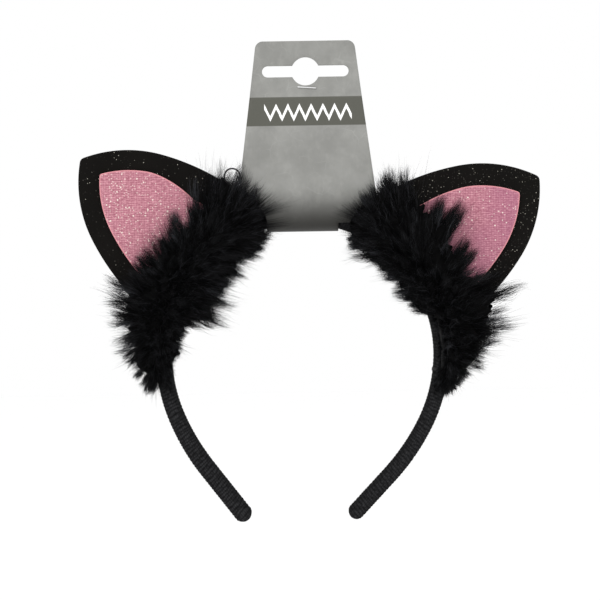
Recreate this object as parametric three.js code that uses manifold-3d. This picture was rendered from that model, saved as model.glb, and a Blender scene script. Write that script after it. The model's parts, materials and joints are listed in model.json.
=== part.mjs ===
// Costume headband with two animal ears, hanging in its header card.
//
// A sprung plastic band in a ribbed knit sleeve carries two layered fabric ears, and a strand of
// marabou feather runs along the front of each ear's base. The band passes through the fold of a
// stapled header card, which hangs from a peg. Millimetres, +Z up, the ears' front faces -Y.
// The origin is the centre of the card's hang hole.

import * as THREE from "three";
import { mergeVertices } from "three/addons/utils/BufferGeometryUtils.js";
import Module from "manifold-3d";

const GAP = 0.3; // clearance between neighbouring pieces

// The band's centreline: it leaves the apex level and turns down in three arcs. The card holds it
// off its middle, so the straight end of the right leg is the shorter one.
const CROWN_RADIUS = 61.6;
const CROWN_SWEEP = 90;
const SIDE_RADIUS = 70;
const SIDE_SWEEP = 25;
const LOWER_RADIUS = 100;
const LOWER_SWEEP = 15.5;
const STRAIGHT_LENGTH = { left: 29, right: 25.2 };

// The band's section: depth front to back, thickness towards the head, corner radius.
const SLEEVE_DEPTH = 9.2;
const SLEEVE_THICKNESS = 6.8;
const SLEEVE_CORNER = 3.3;
const SLEEVE_WALL = 0.8;
const CORE_DEPTH = 7.0;
const CORE_THICKNESS = 4.6;
const CORE_CORNER = 2.2;
const TIP_LENGTH = 5.2;
const TIP_STEM = 2;
const CORE_SHORTFALL = 1; // the core ends this far inside the sleeve's mouth

// The band bends in its plane at two places inside the card's fold.
const HINGE_ANGLE = 9.3;
const HINGE_GAP = 2.2;

// How the band hangs: its apex below the hang hole, and its lean, clockwise from the front.
const APEX_DROP = 64.4;
const BAND_LEAN = 2.9;

// The ear: where its axis crosses the band, its lean from upright, and its outline's arcs.
// Each edge runs from the tip to the base; a tangent angle is counted from the ear's axis.
const EAR_PLACE = 48.4;
const EAR_LEAN = { left: 52.7, right: 53.4 };
const EAR_HEIGHT = 69.9;
const EAR_TIP_TANGENT = 61;
const EAR_ARCS = [
  { radius: 57, until: 23.7 },
  { radius: 105, until: 8 },
  { radius: 25, until: -42 },
];
const EAR_TIP_RADIUS = 2.5;
const INLAY_INSET = 8.75;
const INLAY_TIP_RADIUS = 1.2;
// Each inlay is glued on by hand: across and up, from the ear's own outline.
const INLAY_SHIFT = { left: [-0.25, -0.8], right: [0.75, -1] };
const EAR_CLEARANCE_RADIUS = 66.8; // the layers' lower edge, about the crown's centre
// The layers, each between two depths; the front is negative.
const INLAY_SPAN = [-5.0, -3.5];
const FRONT_PANEL_SPAN = [-3.2, -1.4];
const STIFFENER_SPAN = [-1.1, 0.3];
const BACK_PANEL_SPAN = [0.6, 2.2];
const STIFFENER_INSET = 2.5;

// The felt strip under the ear's layers and the glue bead behind them, by angle along the band.
const TAB_FROM = 26;
const TAB_TO = 71;
const TAB_DEPTH = 8;
const TAB_THICKNESS = 1.2;
const BEAD_FROM = 30;
const BEAD_TO = 67;
const BEAD_SIZE = 1.6;

// The marabou: its fluff as a half-round solid in front of the ear's base, and the cord inside.
const FLUFF_FROM = 33;
const FLUFF_TO = 88;
const FLUFF_RADIUS = 18;
const FLUFF_OUT = 4.4;
const FLUFF_FRONT = 5.3;
const CORD_FROM = 29.5;
const CORD_TO = 97;
const CORD_RADIUS = 1.2;
const CORD_OUT = 2.9;
const CORD_FRONT = 7.4;
const CORD_CLEARANCE = 0.35;
const TOP_DAB = [28.5, 32.4];
const BOTTOM_DAB = [88.6, 91.2];
const TIE_PLACE = 93.5;
const TIE_WIDTH = 1.6;
const TIE_THICKNESS = 0.8;
const TIE_INNER_DEPTH = 7.9;
const TIE_INNER_HEIGHT = 5.8;
const TIE_FRONT = 2.2;
const TIE_OUT = 1;

// The stiff thread loop at the top end of the left marabou cord, as [across, front, up] points.
const LOOP_RADIUS = 0.35;
const LOOP_POINTS = [
  [31.3, 7.2, -4.6],
  [31.5, 8.4, -1.4],
  [31.8, 9.8, 2.6],
  [32.1, 11.0, 6.2],
  [32.7, 11.9, 9.6],
  [34.3, 12.4, 12.2],
  [36.5, 12.7, 13.8],
  [37.1, 12.9, 16.2],
  [35.9, 13.0, 18.4],
  [33.6, 13.1, 19.1],
  [31.4, 13.2, 18.3],
  [30.2, 13.3, 16.0],
  [30.9, 13.5, 13.6],
  [32.9, 13.7, 11.8],
  [33.8, 13.4, 9.2],
  [33.4, 12.5, 6.2],
  [33.0, 11.2, 2.6],
  [32.7, 9.9, -1.4],
  [32.5, 8.8, -4.4],
];
const LOOP_STEPS = 48;

// The header card: a sheet folded round the band, drawn from the hang hole's centre.
const CARD_THICKNESS = 0.45;
const CARD_TOP = 13.5;
const CARD_TOP_HALF = 21.8;
const CARD_FLARE = 0.125; // how much wider each side gets per millimetre down
const CARD_CORNER = 3.5;
const CARD_PRESSED_TO = -10.5; // the two panels lie flat together above this height
const CARD_PANEL_GAP = 0.3;
const FOLD_RADIUS = 7.6;
const FOLD_BOTTOM = 6.9; // below the band's apex
const FOLD_HALF_WIDTH = 13.5;
const FOLD_SHOULDER = 2.5; // below the apex: the fold's straight ends stop here
const CARD_CUT_TOP = 8; // above the apex: the lower corners are cut off from here down
const HOLE_RADIUS = 6.35;
const SLOT_WIDTH = 38.7;
const SLOT_HEIGHT = 5.2;

// The staple.
const STAPLE_WIDTH = 8.6;
const STAPLE_WIRE = 0.5;
const STAPLE_CLINCH = 3.4;
const STAPLE_PLACE = [0.5, -7.3];
const STAPLE_LEAN = 4;
const STAPLE_HOLE = 1.1;

const X_AXIS = new THREE.Vector3(1, 0, 0);
const Y_AXIS = new THREE.Vector3(0, 1, 0);
const Z_AXIS = new THREE.Vector3(0, 0, 1);
const radians = THREE.MathUtils.degToRad;

const wasm = await Module();
wasm.setup();

// ---- the band's line ----

const ARCS = [
  { radius: CROWN_RADIUS, length: CROWN_RADIUS * radians(CROWN_SWEEP) },
  { radius: SIDE_RADIUS, length: SIDE_RADIUS * radians(SIDE_SWEEP) },
  { radius: LOWER_RADIUS, length: LOWER_RADIUS * radians(LOWER_SWEEP) },
];
const CURVED_LENGTH = ARCS.reduce((sum, arc) => sum + arc.length, 0);

// The distance along the centreline from the apex to where a leg's tip begins.
function legEnd(side) {
  return CURVED_LENGTH + STRAIGHT_LENGTH[side] - TIP_LENGTH;
}

// The distance along the centreline from the apex to an angle on the crown.
function along(degrees) {
  return CROWN_RADIUS * radians(degrees);
}

// The point at a distance from the apex, and how far the line has turned down there.
function bandPoint(distance) {
  let x = 0;
  let z = 0;
  let turn = 0;
  let left = Math.abs(distance);
  for (const { radius, length } of ARCS) {
    const step = Math.min(left, length);
    const end = turn + step / radius;
    x += radius * (Math.sin(end) - Math.sin(turn));
    z += radius * (Math.cos(end) - Math.cos(turn));
    turn = end;
    left -= step;
  }
  x += left * Math.cos(turn);
  z -= left * Math.sin(turn);
  const side = Math.sign(distance) || 1;
  return { x: side * x, z, turn: side * turn };
}

// A stretch of the band's line, moved outwards from the head by a constant amount.
class BandLine extends THREE.Curve {
  constructor(from, to, out = 0) {
    super();
    this.from = from;
    this.to = to;
    this.out = out;
  }

  getPoint(t, target = new THREE.Vector3()) {
    const { x, z, turn } = bandPoint(THREE.MathUtils.lerp(this.from, this.to, t));
    return target.set(x + this.out * Math.sin(turn), 0, z + this.out * Math.cos(turn));
  }
}

// ---- shaping ----

// A closed solid swept along a curve. On the band a section's x is depth towards the front and
// its y is towards the head.
function sweep(section, curve, steps, curveSegments = 1) {
  return new THREE.ExtrudeGeometry(section, {
    extrudePath: curve,
    steps,
    curveSegments,
    bevelEnabled: false,
  });
}

// A flat piece whose outline is drawn in the XZ plane and which fills from front to back.
function upright(outline, [front, back], curveSegments) {
  const geometry = new THREE.ExtrudeGeometry(outline, {
    depth: back - front,
    curveSegments,
    bevelEnabled: false,
  });
  const stand = new THREE.Matrix4().makeBasis(X_AXIS, Z_AXIS, Y_AXIS.clone().negate());
  return geometry.applyMatrix4(stand.setPosition(0, back, 0));
}

function solidOf(geometry) {
  const bare = geometry.clone();
  bare.deleteAttribute("normal");
  bare.deleteAttribute("uv");
  const merged = mergeVertices(bare, 1e-4);
  return new wasm.Manifold(
    new wasm.Mesh({
      numProp: 3,
      vertProperties: merged.attributes.position.array,
      triVerts: new Uint32Array(merged.index.array),
    }),
  );
}

function geometryOf(solid) {
  const mesh = solid.getMesh();
  const geometry = new THREE.BufferGeometry();
  geometry.setAttribute("position", new THREE.BufferAttribute(mesh.vertProperties, 3));
  geometry.setIndex(new THREE.BufferAttribute(mesh.triVerts, 1));
  return geometry;
}

function cut(geometry, ...tools) {
  return geometryOf(tools.reduce((rest, tool) => rest.subtract(solidOf(tool)), solidOf(geometry)));
}

// Adds a rounded rectangle to a shape or a hole, centred on a point.
function roundedRectangle(path, width, height, radius, centreX = 0, centreY = 0) {
  const x = width / 2 - radius;
  const y = height / 2 - radius;
  path.absarc(centreX + x, centreY + y, radius, 0, Math.PI / 2);
  path.absarc(centreX - x, centreY + y, radius, Math.PI / 2, Math.PI);
  path.absarc(centreX - x, centreY - y, radius, Math.PI, (3 * Math.PI) / 2);
  path.absarc(centreX + x, centreY - y, radius, (3 * Math.PI) / 2, 2 * Math.PI);
  return path.closePath();
}

function disc(radius, centreX = 0, centreY = 0) {
  return new THREE.Shape().absarc(centreX, centreY, radius, 0, 2 * Math.PI);
}

function addPiece(group, name, geometry, color, roughness, metalness = 0) {
  const mesh = new THREE.Mesh(
    geometry,
    new THREE.MeshStandardMaterial({ color, roughness, metalness }),
  );
  mesh.name = name;
  group.add(mesh);
  return mesh;
}

// ---- the header card and its staple ----

function cardProfile() {
  const centre = FOLD_RADIUS - FOLD_BOTTOM - APEX_DROP;
  const rise = CARD_PRESSED_TO - centre;
  const inner = { top: CARD_PANEL_GAP / 2, radius: FOLD_RADIUS - CARD_THICKNESS };
  const outer = { top: inner.top + CARD_THICKNESS, radius: FOLD_RADIUS };
  // The panels leave the round fold at this angle, to meet just under the staple.
  const leave =
    Math.asin(outer.radius / Math.hypot(outer.top, rise)) - Math.atan2(outer.top, rise);
  const shape = new THREE.Shape();
  shape.moveTo(-outer.top, CARD_TOP);
  shape.lineTo(-outer.top, CARD_PRESSED_TO);
  shape.absarc(0, centre, outer.radius, Math.PI - leave, 2 * Math.PI + leave);
  shape.lineTo(outer.top, CARD_PRESSED_TO);
  shape.lineTo(outer.top, CARD_TOP);
  shape.lineTo(inner.top, CARD_TOP);
  shape.lineTo(inner.top, CARD_PRESSED_TO);
  shape.absarc(0, centre, inner.radius, leave, -Math.PI - leave, true);
  shape.lineTo(-inner.top, CARD_PRESSED_TO);
  shape.lineTo(-inner.top, CARD_TOP);
  return shape;
}

function cardHalfWidth(height) {
  return CARD_TOP_HALF + CARD_FLARE * (CARD_TOP - height);
}

function cardOutline() {
  const lean = Math.atan(CARD_FLARE);
  const cornerHeight = CARD_TOP - CARD_CORNER;
  const cornerAcross = cardHalfWidth(cornerHeight) - CARD_CORNER / Math.cos(lean);
  const cutTop = CARD_CUT_TOP - APEX_DROP;
  const shoulder = -FOLD_SHOULDER - APEX_DROP;
  const below = -FOLD_BOTTOM - APEX_DROP - 1;
  const shape = new THREE.Shape();
  shape.moveTo(-FOLD_HALF_WIDTH, below);
  shape.lineTo(FOLD_HALF_WIDTH, below);
  shape.lineTo(FOLD_HALF_WIDTH, shoulder);
  shape.lineTo(cardHalfWidth(cutTop), cutTop);
  shape.absarc(cornerAcross, cornerHeight, CARD_CORNER, lean, Math.PI / 2);
  shape.absarc(-cornerAcross, cornerHeight, CARD_CORNER, Math.PI / 2, Math.PI - lean);
  shape.lineTo(-cardHalfWidth(cutTop), cutTop);
  shape.lineTo(-FOLD_HALF_WIDTH, shoulder);
  return shape;
}

function headerCard() {
  const width = 2 * cardHalfWidth(-APEX_DROP) + 2;
  const folded = new THREE.ExtrudeGeometry(cardProfile(), {
    depth: width,
    curveSegments: 9,
    bevelEnabled: false,
  });
  const acrossX = new THREE.Matrix4().makeBasis(Y_AXIS, Z_AXIS, X_AXIS);
  folded.applyMatrix4(acrossX.setPosition(-width / 2, 0, 0));
  const through = [-2 * FOLD_RADIUS, 2 * FOLD_RADIUS];
  const blank = upright(cardOutline(), through, 3);
  const sheet = geometryOf(solidOf(folded).intersect(solidOf(blank)));
  const slot = roundedRectangle(new THREE.Shape(), SLOT_WIDTH, SLOT_HEIGHT, SLOT_HEIGHT / 2);
  const legHoles = [-1, 1].map((side) => {
    const hole = new THREE.BoxGeometry(STAPLE_HOLE, 4, STAPLE_HOLE);
    hole.translate((side * (STAPLE_WIDTH - STAPLE_WIRE)) / 2, 0, 0);
    return hole.rotateY(radians(STAPLE_LEAN)).translate(STAPLE_PLACE[0], 0, STAPLE_PLACE[1]);
  });
  return cut(sheet, upright(slot, through, 4), upright(disc(HOLE_RADIUS), through, 12), ...legHoles);
}

// The wire seen from above: crown in front of the card, legs through it, ends clinched behind.
function stapleShape() {
  const half = STAPLE_WIDTH / 2;
  const face = CARD_PANEL_GAP / 2 + CARD_THICKNESS + GAP;
  const outside = face + STAPLE_WIRE;
  const legInside = half - STAPLE_WIRE;
  const clinchEnd = half - STAPLE_CLINCH;
  const rightEdge = [
    [half, -outside],
    [half, outside],
    [clinchEnd, outside],
    [clinchEnd, face],
    [legInside, face],
    [legInside, -face],
  ];
  const leftEdge = rightEdge.map(([x, y]) => [-x, y]).reverse();
  return new THREE.Shape([...rightEdge, ...leftEdge].map(([x, y]) => new THREE.Vector2(x, y)));
}

function addCard(group) {
  addPiece(group, "header_card", headerCard(), 0x9b9c97, 0.75);
  const wire = new THREE.ExtrudeGeometry(stapleShape(), {
    depth: STAPLE_WIRE,
    bevelEnabled: false,
  });
  wire.translate(0, 0, -STAPLE_WIRE / 2);
  const staple = addPiece(group, "card_staple", wire, 0xc9cacc, 0.35, 1);
  staple.position.set(STAPLE_PLACE[0], 0, STAPLE_PLACE[1]);
  staple.rotation.y = radians(STAPLE_LEAN);
}

// ---- the band ----

function sleeveSection() {
  const shape = roundedRectangle(new THREE.Shape(), SLEEVE_DEPTH, SLEEVE_THICKNESS, SLEEVE_CORNER);
  shape.holes.push(
    roundedRectangle(
      new THREE.Path(),
      SLEEVE_DEPTH - 2 * SLEEVE_WALL,
      SLEEVE_THICKNESS - 2 * SLEEVE_WALL,
      SLEEVE_CORNER - SLEEVE_WALL,
    ),
  );
  return shape;
}

function coreSection() {
  return roundedRectangle(new THREE.Shape(), CORE_DEPTH, CORE_THICKNESS, CORE_CORNER);
}

// The sleeve's closed end: a round-nosed plug that starts where the sleeve stops.
function sleeveTip(side) {
  const nose = SLEEVE_THICKNESS / 2 - SLEEVE_CORNER;
  const outline = new THREE.Shape();
  outline.moveTo(-TIP_STEM, -nose);
  outline.absarc(TIP_LENGTH - SLEEVE_THICKNESS / 2, 0, nose, -Math.PI / 2, Math.PI / 2);
  outline.lineTo(-TIP_STEM, nose);
  const straightDepth = SLEEVE_DEPTH - 2 * SLEEVE_CORNER;
  const bar = new THREE.ExtrudeGeometry(outline, {
    depth: straightDepth,
    bevelThickness: SLEEVE_CORNER,
    bevelSize: SLEEVE_CORNER,
    bevelSegments: 3,
    curveSegments: 4,
  });
  bar.translate(0, 0, -straightDepth / 2).rotateX(Math.PI / 2);
  const waste = new THREE.BoxGeometry(20, 20, 20).translate(GAP - 10, 0, 0);
  const end = bandPoint(legEnd(side));
  return cut(bar, waste).rotateY(end.turn).translate(end.x, 0, end.z);
}

const HINGE_PLACE = along(HINGE_ANGLE);

function addCrown(group) {
  const reach = HINGE_PLACE - HINGE_GAP / 2;
  const line = new BandLine(-reach, reach);
  addPiece(group, "sleeve_crown", sweep(sleeveSection(), line, 4), 0x1b1b1d, 0.95);
  addPiece(group, "core_crown", sweep(coreSection(), line, 4), 0x26262a, 0.5);
}

function addLeg(group, side) {
  const start = HINGE_PLACE + HINGE_GAP / 2;
  const end = legEnd(side);
  const sleeve = sweep(sleeveSection(), new BandLine(start, end), 30);
  const core = sweep(coreSection(), new BandLine(start, end - CORE_SHORTFALL), 30);
  addPiece(group, `${side}_sleeve`, sleeve, 0x1b1b1d, 0.95);
  addPiece(group, `${side}_core_leg`, core, 0x26262a, 0.5);
  addPiece(group, `${side}_sleeve_tip`, sleeveTip(side), 0x161618, 0.95);
}

// ---- the ears ----

// The ear's outline about its own axis, drawn in by an inset, with the tip pointing up.
// It ends below the band's surface, where the layers are cut to the band.
function earOutline(inset, tipRadius) {
  const [first] = EAR_ARCS;
  const start = radians(EAR_TIP_TANGENT);
  let x = -first.radius * Math.cos(start);
  let y = EAR_HEIGHT - first.radius * Math.sin(start);
  const reach = first.radius - inset - tipRadius;
  const tipHeight = y + Math.sqrt(reach * reach - x * x);
  let from = Math.acos(-x / reach);
  const arcs = [];
  EAR_ARCS.forEach(({ radius, until }, index) => {
    const to = radians(until);
    arcs.push({ x, y, radius: radius - inset, from, to });
    const next = EAR_ARCS[index + 1];
    if (next) {
      x += (radius - next.radius) * Math.cos(to);
      y += (radius - next.radius) * Math.sin(to);
    }
    from = to;
  });
  const tipFrom = arcs[0].from;
  const shape = new THREE.Shape();
  shape.absarc(0, tipHeight, tipRadius, Math.PI - tipFrom, tipFrom, true);
  for (const arc of arcs) {
    shape.absarc(arc.x, arc.y, arc.radius, arc.from, arc.to, true);
  }
  for (const arc of arcs.reverse()) {
    shape.absarc(-arc.x, arc.y, arc.radius, Math.PI - arc.to, Math.PI - arc.from, true);
  }
  return shape;
}

function earLayer(side, inset, tipRadius, span, [across, up] = [0, 0]) {
  const base = bandPoint(along(EAR_PLACE));
  const layer = upright(earOutline(inset, tipRadius), span, 4);
  layer.translate(across, 0, up);
  layer.rotateY(radians(EAR_LEAN[side])).translate(base.x, 0, base.z);
  const bandSpace = new THREE.CylinderGeometry(
    EAR_CLEARANCE_RADIUS,
    EAR_CLEARANCE_RADIUS,
    6 * SLEEVE_DEPTH,
    96,
  );
  return cut(layer, bandSpace.translate(0, 0, -CROWN_RADIUS));
}

function addEar(group, side) {
  const front = earLayer(side, 0, EAR_TIP_RADIUS, FRONT_PANEL_SPAN);
  const stiffener = earLayer(side, STIFFENER_INSET, EAR_TIP_RADIUS, STIFFENER_SPAN);
  const back = earLayer(side, 0, EAR_TIP_RADIUS, BACK_PANEL_SPAN);
  const inlay = earLayer(side, INLAY_INSET, INLAY_TIP_RADIUS, INLAY_SPAN, INLAY_SHIFT[side]);
  addPiece(group, `${side}_ear_front_panel`, front, 0x17130f, 0.6);
  addPiece(group, `${side}_ear_stiffener`, stiffener, 0x2b2a2a, 0.9);
  addPiece(group, `${side}_ear_back_panel`, back, 0x191919, 0.95);
  addPiece(group, `${side}_ear_pink_inlay`, inlay, 0xd88ba3, 0.55);

  const surface = SLEEVE_THICKNESS / 2;
  const tabOut = surface + GAP + TAB_THICKNESS / 2;
  const tabLine = new BandLine(along(TAB_FROM), along(TAB_TO), tabOut);
  const tabSection = roundedRectangle(new THREE.Shape(), TAB_DEPTH, TAB_THICKNESS, 0.3);
  addPiece(group, `${side}_ear_base_tab`, sweep(tabSection, tabLine, 10), 0x202022, 0.95);

  const beadOut = EAR_CLEARANCE_RADIUS - CROWN_RADIUS + BEAD_SIZE / 2;
  const beadLine = new BandLine(along(BEAD_FROM), along(BEAD_TO), beadOut);
  const beadBehind = -(BACK_PANEL_SPAN[1] + GAP + BEAD_SIZE / 2);
  const bead = sweep(disc(BEAD_SIZE / 2, beadBehind, 0), beadLine, 12, 4);
  addPiece(group, `${side}_ear_glue_bead`, bead, 0xd9d4c4, 0.3);
}

// ---- the marabou ----

function fluffSection() {
  const shape = new THREE.Shape();
  shape.absarc(FLUFF_FRONT, 0, FLUFF_RADIUS, -Math.PI / 2, Math.PI / 2);
  shape.closePath();
  const channel = new THREE.Path();
  const cordIn = FLUFF_OUT - CORD_OUT;
  channel.absarc(CORD_FRONT, cordIn, CORD_RADIUS + CORD_CLEARANCE, 0, 2 * Math.PI);
  shape.holes.push(channel);
  return shape;
}

function tieSection() {
  const shape = new THREE.Shape();
  const outerDepth = TIE_INNER_DEPTH + TIE_THICKNESS;
  const outerHeight = TIE_INNER_HEIGHT + TIE_THICKNESS;
  shape.absellipse(TIE_FRONT, -TIE_OUT, outerDepth, outerHeight, 0, 2 * Math.PI);
  const inside = new THREE.Path();
  inside.absellipse(TIE_FRONT, -TIE_OUT, TIE_INNER_DEPTH, TIE_INNER_HEIGHT, 0, 2 * Math.PI);
  shape.holes.push(inside);
  return shape;
}

// A flat dab of glue between the sleeve's front and the marabou's cord.
function glueDab([from, to]) {
  const front = SLEEVE_DEPTH / 2 + GAP;
  const depth = CORD_FRONT - CORD_RADIUS - GAP - front;
  const section = roundedRectangle(new THREE.Shape(), depth, 4, 0.3, front + depth / 2, 0);
  return sweep(section, new BandLine(along(from), along(to), CORD_OUT - 1), 2);
}

function addMarabou(group, side) {
  const fluffLine = new BandLine(along(FLUFF_FROM), along(FLUFF_TO), FLUFF_OUT);
  const fluff = sweep(fluffSection(), fluffLine, 14, 4);
  addPiece(group, `${side}_marabou_fluff`, fluff, 0x0c0c0e, 1);
  const cordLine = new BandLine(along(CORD_FROM), along(CORD_TO), CORD_OUT);
  const cord = sweep(disc(CORD_RADIUS, CORD_FRONT, 0), cordLine, 24, 4);
  addPiece(group, `${side}_marabou_cord`, cord, 0x141416, 0.9);
  const tieLine = new BandLine(along(TIE_PLACE), along(TIE_PLACE) + TIE_WIDTH);
  addPiece(group, `${side}_marabou_tie`, sweep(tieSection(), tieLine, 1, 10), 0x101012, 0.8);
  addPiece(group, `${side}_marabou_top_glue`, glueDab(TOP_DAB), 0xd9d4c4, 0.3);
  addPiece(group, `${side}_marabou_bottom_glue`, glueDab(BOTTOM_DAB), 0xd9d4c4, 0.3);
}

function addEndLoop(group) {
  const points = LOOP_POINTS.map(([across, front, up]) => new THREE.Vector3(across, -front, up));
  const line = new THREE.CatmullRomCurve3(points);
  addPiece(group, "left_marabou_end_loop", sweep(disc(LOOP_RADIUS), line, LOOP_STEPS, 4), 0x101012, 0.8);
}

// ---- assembly ----

const headband = new THREE.Group();
const card = new THREE.Group();
const band = new THREE.Group();
const rightHalf = new THREE.Group();
const leftHalf = new THREE.Group();
leftHalf.scale.x = -1;
band.position.z = -APEX_DROP;
band.rotation.y = radians(BAND_LEAN);
headband.add(card, band);
band.add(rightHalf, leftHalf);

addCard(card);
addCrown(band);
for (const [half, side] of [[rightHalf, "right"], [leftHalf, "left"]]) {
  addLeg(half, side);
  addEar(half, side);
  addMarabou(half, side);
}
addEndLoop(leftHalf);

export default headband;
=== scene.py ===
"""Looks of the animal ears headband: cloth, marabou down, thread, card and staple.

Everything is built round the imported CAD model. Lengths are written in millimetres and placed in
metres. A side's pieces are drawn once, for the right half, and mirrored for the left.
"""

import json
import math

import bpy
import numpy as np
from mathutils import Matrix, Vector, geometry


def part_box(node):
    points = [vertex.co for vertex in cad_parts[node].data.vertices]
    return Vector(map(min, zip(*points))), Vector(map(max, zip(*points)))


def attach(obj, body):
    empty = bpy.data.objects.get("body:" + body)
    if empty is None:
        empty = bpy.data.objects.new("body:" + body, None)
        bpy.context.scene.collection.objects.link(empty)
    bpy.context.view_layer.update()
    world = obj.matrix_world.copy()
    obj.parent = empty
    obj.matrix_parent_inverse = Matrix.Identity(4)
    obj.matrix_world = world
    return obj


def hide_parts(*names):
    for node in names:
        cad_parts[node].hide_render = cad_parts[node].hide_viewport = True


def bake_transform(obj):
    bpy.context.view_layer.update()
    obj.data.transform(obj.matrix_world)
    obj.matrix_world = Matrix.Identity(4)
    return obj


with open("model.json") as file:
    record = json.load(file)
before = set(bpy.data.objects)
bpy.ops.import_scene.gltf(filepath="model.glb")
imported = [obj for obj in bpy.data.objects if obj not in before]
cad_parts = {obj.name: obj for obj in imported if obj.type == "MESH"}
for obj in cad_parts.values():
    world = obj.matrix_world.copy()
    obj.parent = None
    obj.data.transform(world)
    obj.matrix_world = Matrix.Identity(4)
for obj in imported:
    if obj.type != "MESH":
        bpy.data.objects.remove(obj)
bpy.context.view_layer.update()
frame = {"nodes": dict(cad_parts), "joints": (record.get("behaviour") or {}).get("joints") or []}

MM = 0.001
RIGHT = 1
LEFT = -1
SIDE_NAMES = {RIGHT: "right", LEFT: "left"}
JOINTS = {joint["name"]: joint for joint in frame["joints"]}

# The band's own frame: its apex, and its across, depth and up directions.
APEX = np.array(JOINTS["band_swing"]["pos_m"])
ACROSS = np.array(JOINTS["band_swing"]["axis"])
DEPTH = np.array((0.0, 1.0, 0.0))
UP = np.cross(ACROSS, DEPTH)

# The band's centreline from its apex: arcs of (radius, sweep in degrees), then a straight end.
# The card holds the band off its middle, so the right leg is the shorter one.
CROWN_RADIUS = 61.6
ARCS = ((CROWN_RADIUS, 90), (70, 25), (100, 15.5))
STRAIGHT = {LEFT: 29, RIGHT: 25.2}
SLEEVE_DEPTH = 9.2
SLEEVE_THICKNESS = 6.8
SLEEVE_CORNER = 3.3
SLEEVE_WALL = 0.8

# The ear's outline about its axis, as in the CAD source.
EAR_PLACE = 48.4
EAR_LEAN = {LEFT: 52.7, RIGHT: 53.4}
EAR_HEIGHT = 69.9
EAR_TIP_TANGENT = 61
EAR_ARCS = ((57, 23.7), (105, 8), (25, -42))
EAR_TIP_RADIUS = 2.5
EAR_CLEARANCE_RADIUS = 66.8
INLAY_INSET = 8.75
INLAY_TIP_RADIUS = 1.2
INLAY_SHIFT = {LEFT: (-0.25, -0.8), RIGHT: (0.75, -1)}
# The inlay's upper edge draws in towards its base, from this height on the ear's axis down.
INLAY_TUCK = {LEFT: 3.7, RIGHT: 1.75}
TUCK_FROM = 43
TUCK_FALL = 19.3
TUCK_MOST = 1.2
BASE_TAB_OUT = 4.3

# The marabou cord's line and the angles along the band that its down spreads over.
CORD_OUT = 2.9
CORD_FRONT = 7.4
CORD_RADIUS = 1.2
CORD_LAY = 3.2
PLY_OFFSET = 0.55
PLY_RADIUS = 0.52
CORD_FROM = 29.5
CORD_TO = 97.0

# The thread loop's route: across, in front, up, from the band's apex, as in the CAD source.
LOOP_DIAMETER = 0.7
LOOP_POINTS = (
    (31.3, 7.2, -4.6),
    (31.5, 8.4, -1.4),
    (31.8, 9.8, 2.6),
    (32.1, 11.0, 6.2),
    (32.7, 11.9, 9.6),
    (34.3, 12.4, 12.2),
    (36.5, 12.7, 13.8),
    (37.1, 12.9, 16.2),
    (35.9, 13.0, 18.4),
    (33.6, 13.1, 19.1),
    (31.4, 13.2, 18.3),
    (30.2, 13.3, 16.0),
    (30.9, 13.5, 13.6),
    (32.9, 13.7, 11.8),
    (33.8, 13.4, 9.2),
    (33.4, 12.5, 6.2),
    (33.0, 11.2, 2.6),
    (32.7, 9.9, -1.4),
    (32.5, 8.8, -4.4),
)

# The header card, from the hang hole's centre.
APEX_HEIGHT = float(APEX[2]) / MM
CARD_THICKNESS = 0.45
CARD_TOP = 13.5
CARD_TOP_HALF = 21.8
CARD_FLARE = 0.125
CARD_CORNER = 3.5
CARD_PRESSED_TO = -10.5
CARD_PANEL_GAP = 0.3
CARD_BOW = 0.12
FOLD_RADIUS = 7.6
FOLD_BOTTOM = 6.9
FOLD_HALF_WIDTH = {LEFT: 18, RIGHT: 13.5}  # the leaning band rises sooner on its left
FOLD_SHOULDER = 3.3
SHOULDER_HALF_WIDTH = 24
CARD_CUT_TOP = 8
HOLE_RADIUS = 6.35
SLOT_WIDTH = 38.7
SLOT_HEIGHT = 5.2

STAPLE_WIDTH = 8.6
STAPLE_WIRE = 0.5
STAPLE_CLINCH = 3.4
STAPLE_LIFT = 0.3
STAPLE_PINCH = 0.12
STAPLE_BEND = 0.45
STAPLE_CORNER = 0.16
STAPLE_PLACE = (0.5, -7.3)
STAPLE_LEAN = math.radians(4)


# ---- meshes ----


def to_row(points, side):
    """Points (across, front, up) from the band's apex in millimetres, as points in the row frame."""
    points = np.asarray(points, float) * MM
    across, front, up = points[..., 0:1] * side, points[..., 1:2], points[..., 2:3]
    return APEX + across * ACROSS - front * DEPTH + up * UP


def in_scene(name, data):
    """A new object of the scene that shows the data."""
    made = bpy.data.objects.new(name, data)
    bpy.context.scene.collection.objects.link(made)
    return made


def make_piece(name, points, faces, materials, body, nodes=(), slot=None):
    """A mesh object that rides on a body. faces is a list of arrays, each of one kind of polygon."""
    groups = [np.asarray(group, np.int32) for group in faces]
    points = np.ascontiguousarray(points, np.float32)
    sizes = np.concatenate([np.full(len(group), group.shape[1], np.int32) for group in groups])
    mesh = bpy.data.meshes.new(name)
    mesh.vertices.add(len(points))
    mesh.vertices.foreach_set("co", points.ravel())
    mesh.loops.add(int(sizes.sum()))
    mesh.loops.foreach_set("vertex_index", np.concatenate([group.ravel() for group in groups]))
    mesh.polygons.add(len(sizes))
    mesh.polygons.foreach_set("loop_start", (np.cumsum(sizes) - sizes).astype(np.int32))
    mesh.polygons.foreach_set("use_smooth", np.full(len(sizes), True))
    mesh.update(calc_edges=True)
    for material in materials:
        mesh.materials.append(material)
    piece = in_scene(name, mesh)
    if body:
        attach(piece, body)
    if nodes:
        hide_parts(*nodes)
    return piece


def store(piece, name, values):
    """Keeps a vector or a number on each of a piece's points, for its material to read."""
    values = np.ascontiguousarray(values, np.float32)
    kind, key = ("FLOAT_VECTOR", "vector") if values.ndim == 2 else ("FLOAT", "value")
    attribute = piece.data.attributes.new(name, kind, "POINT")
    attribute.data.foreach_set(key, values.ravel())


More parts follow.
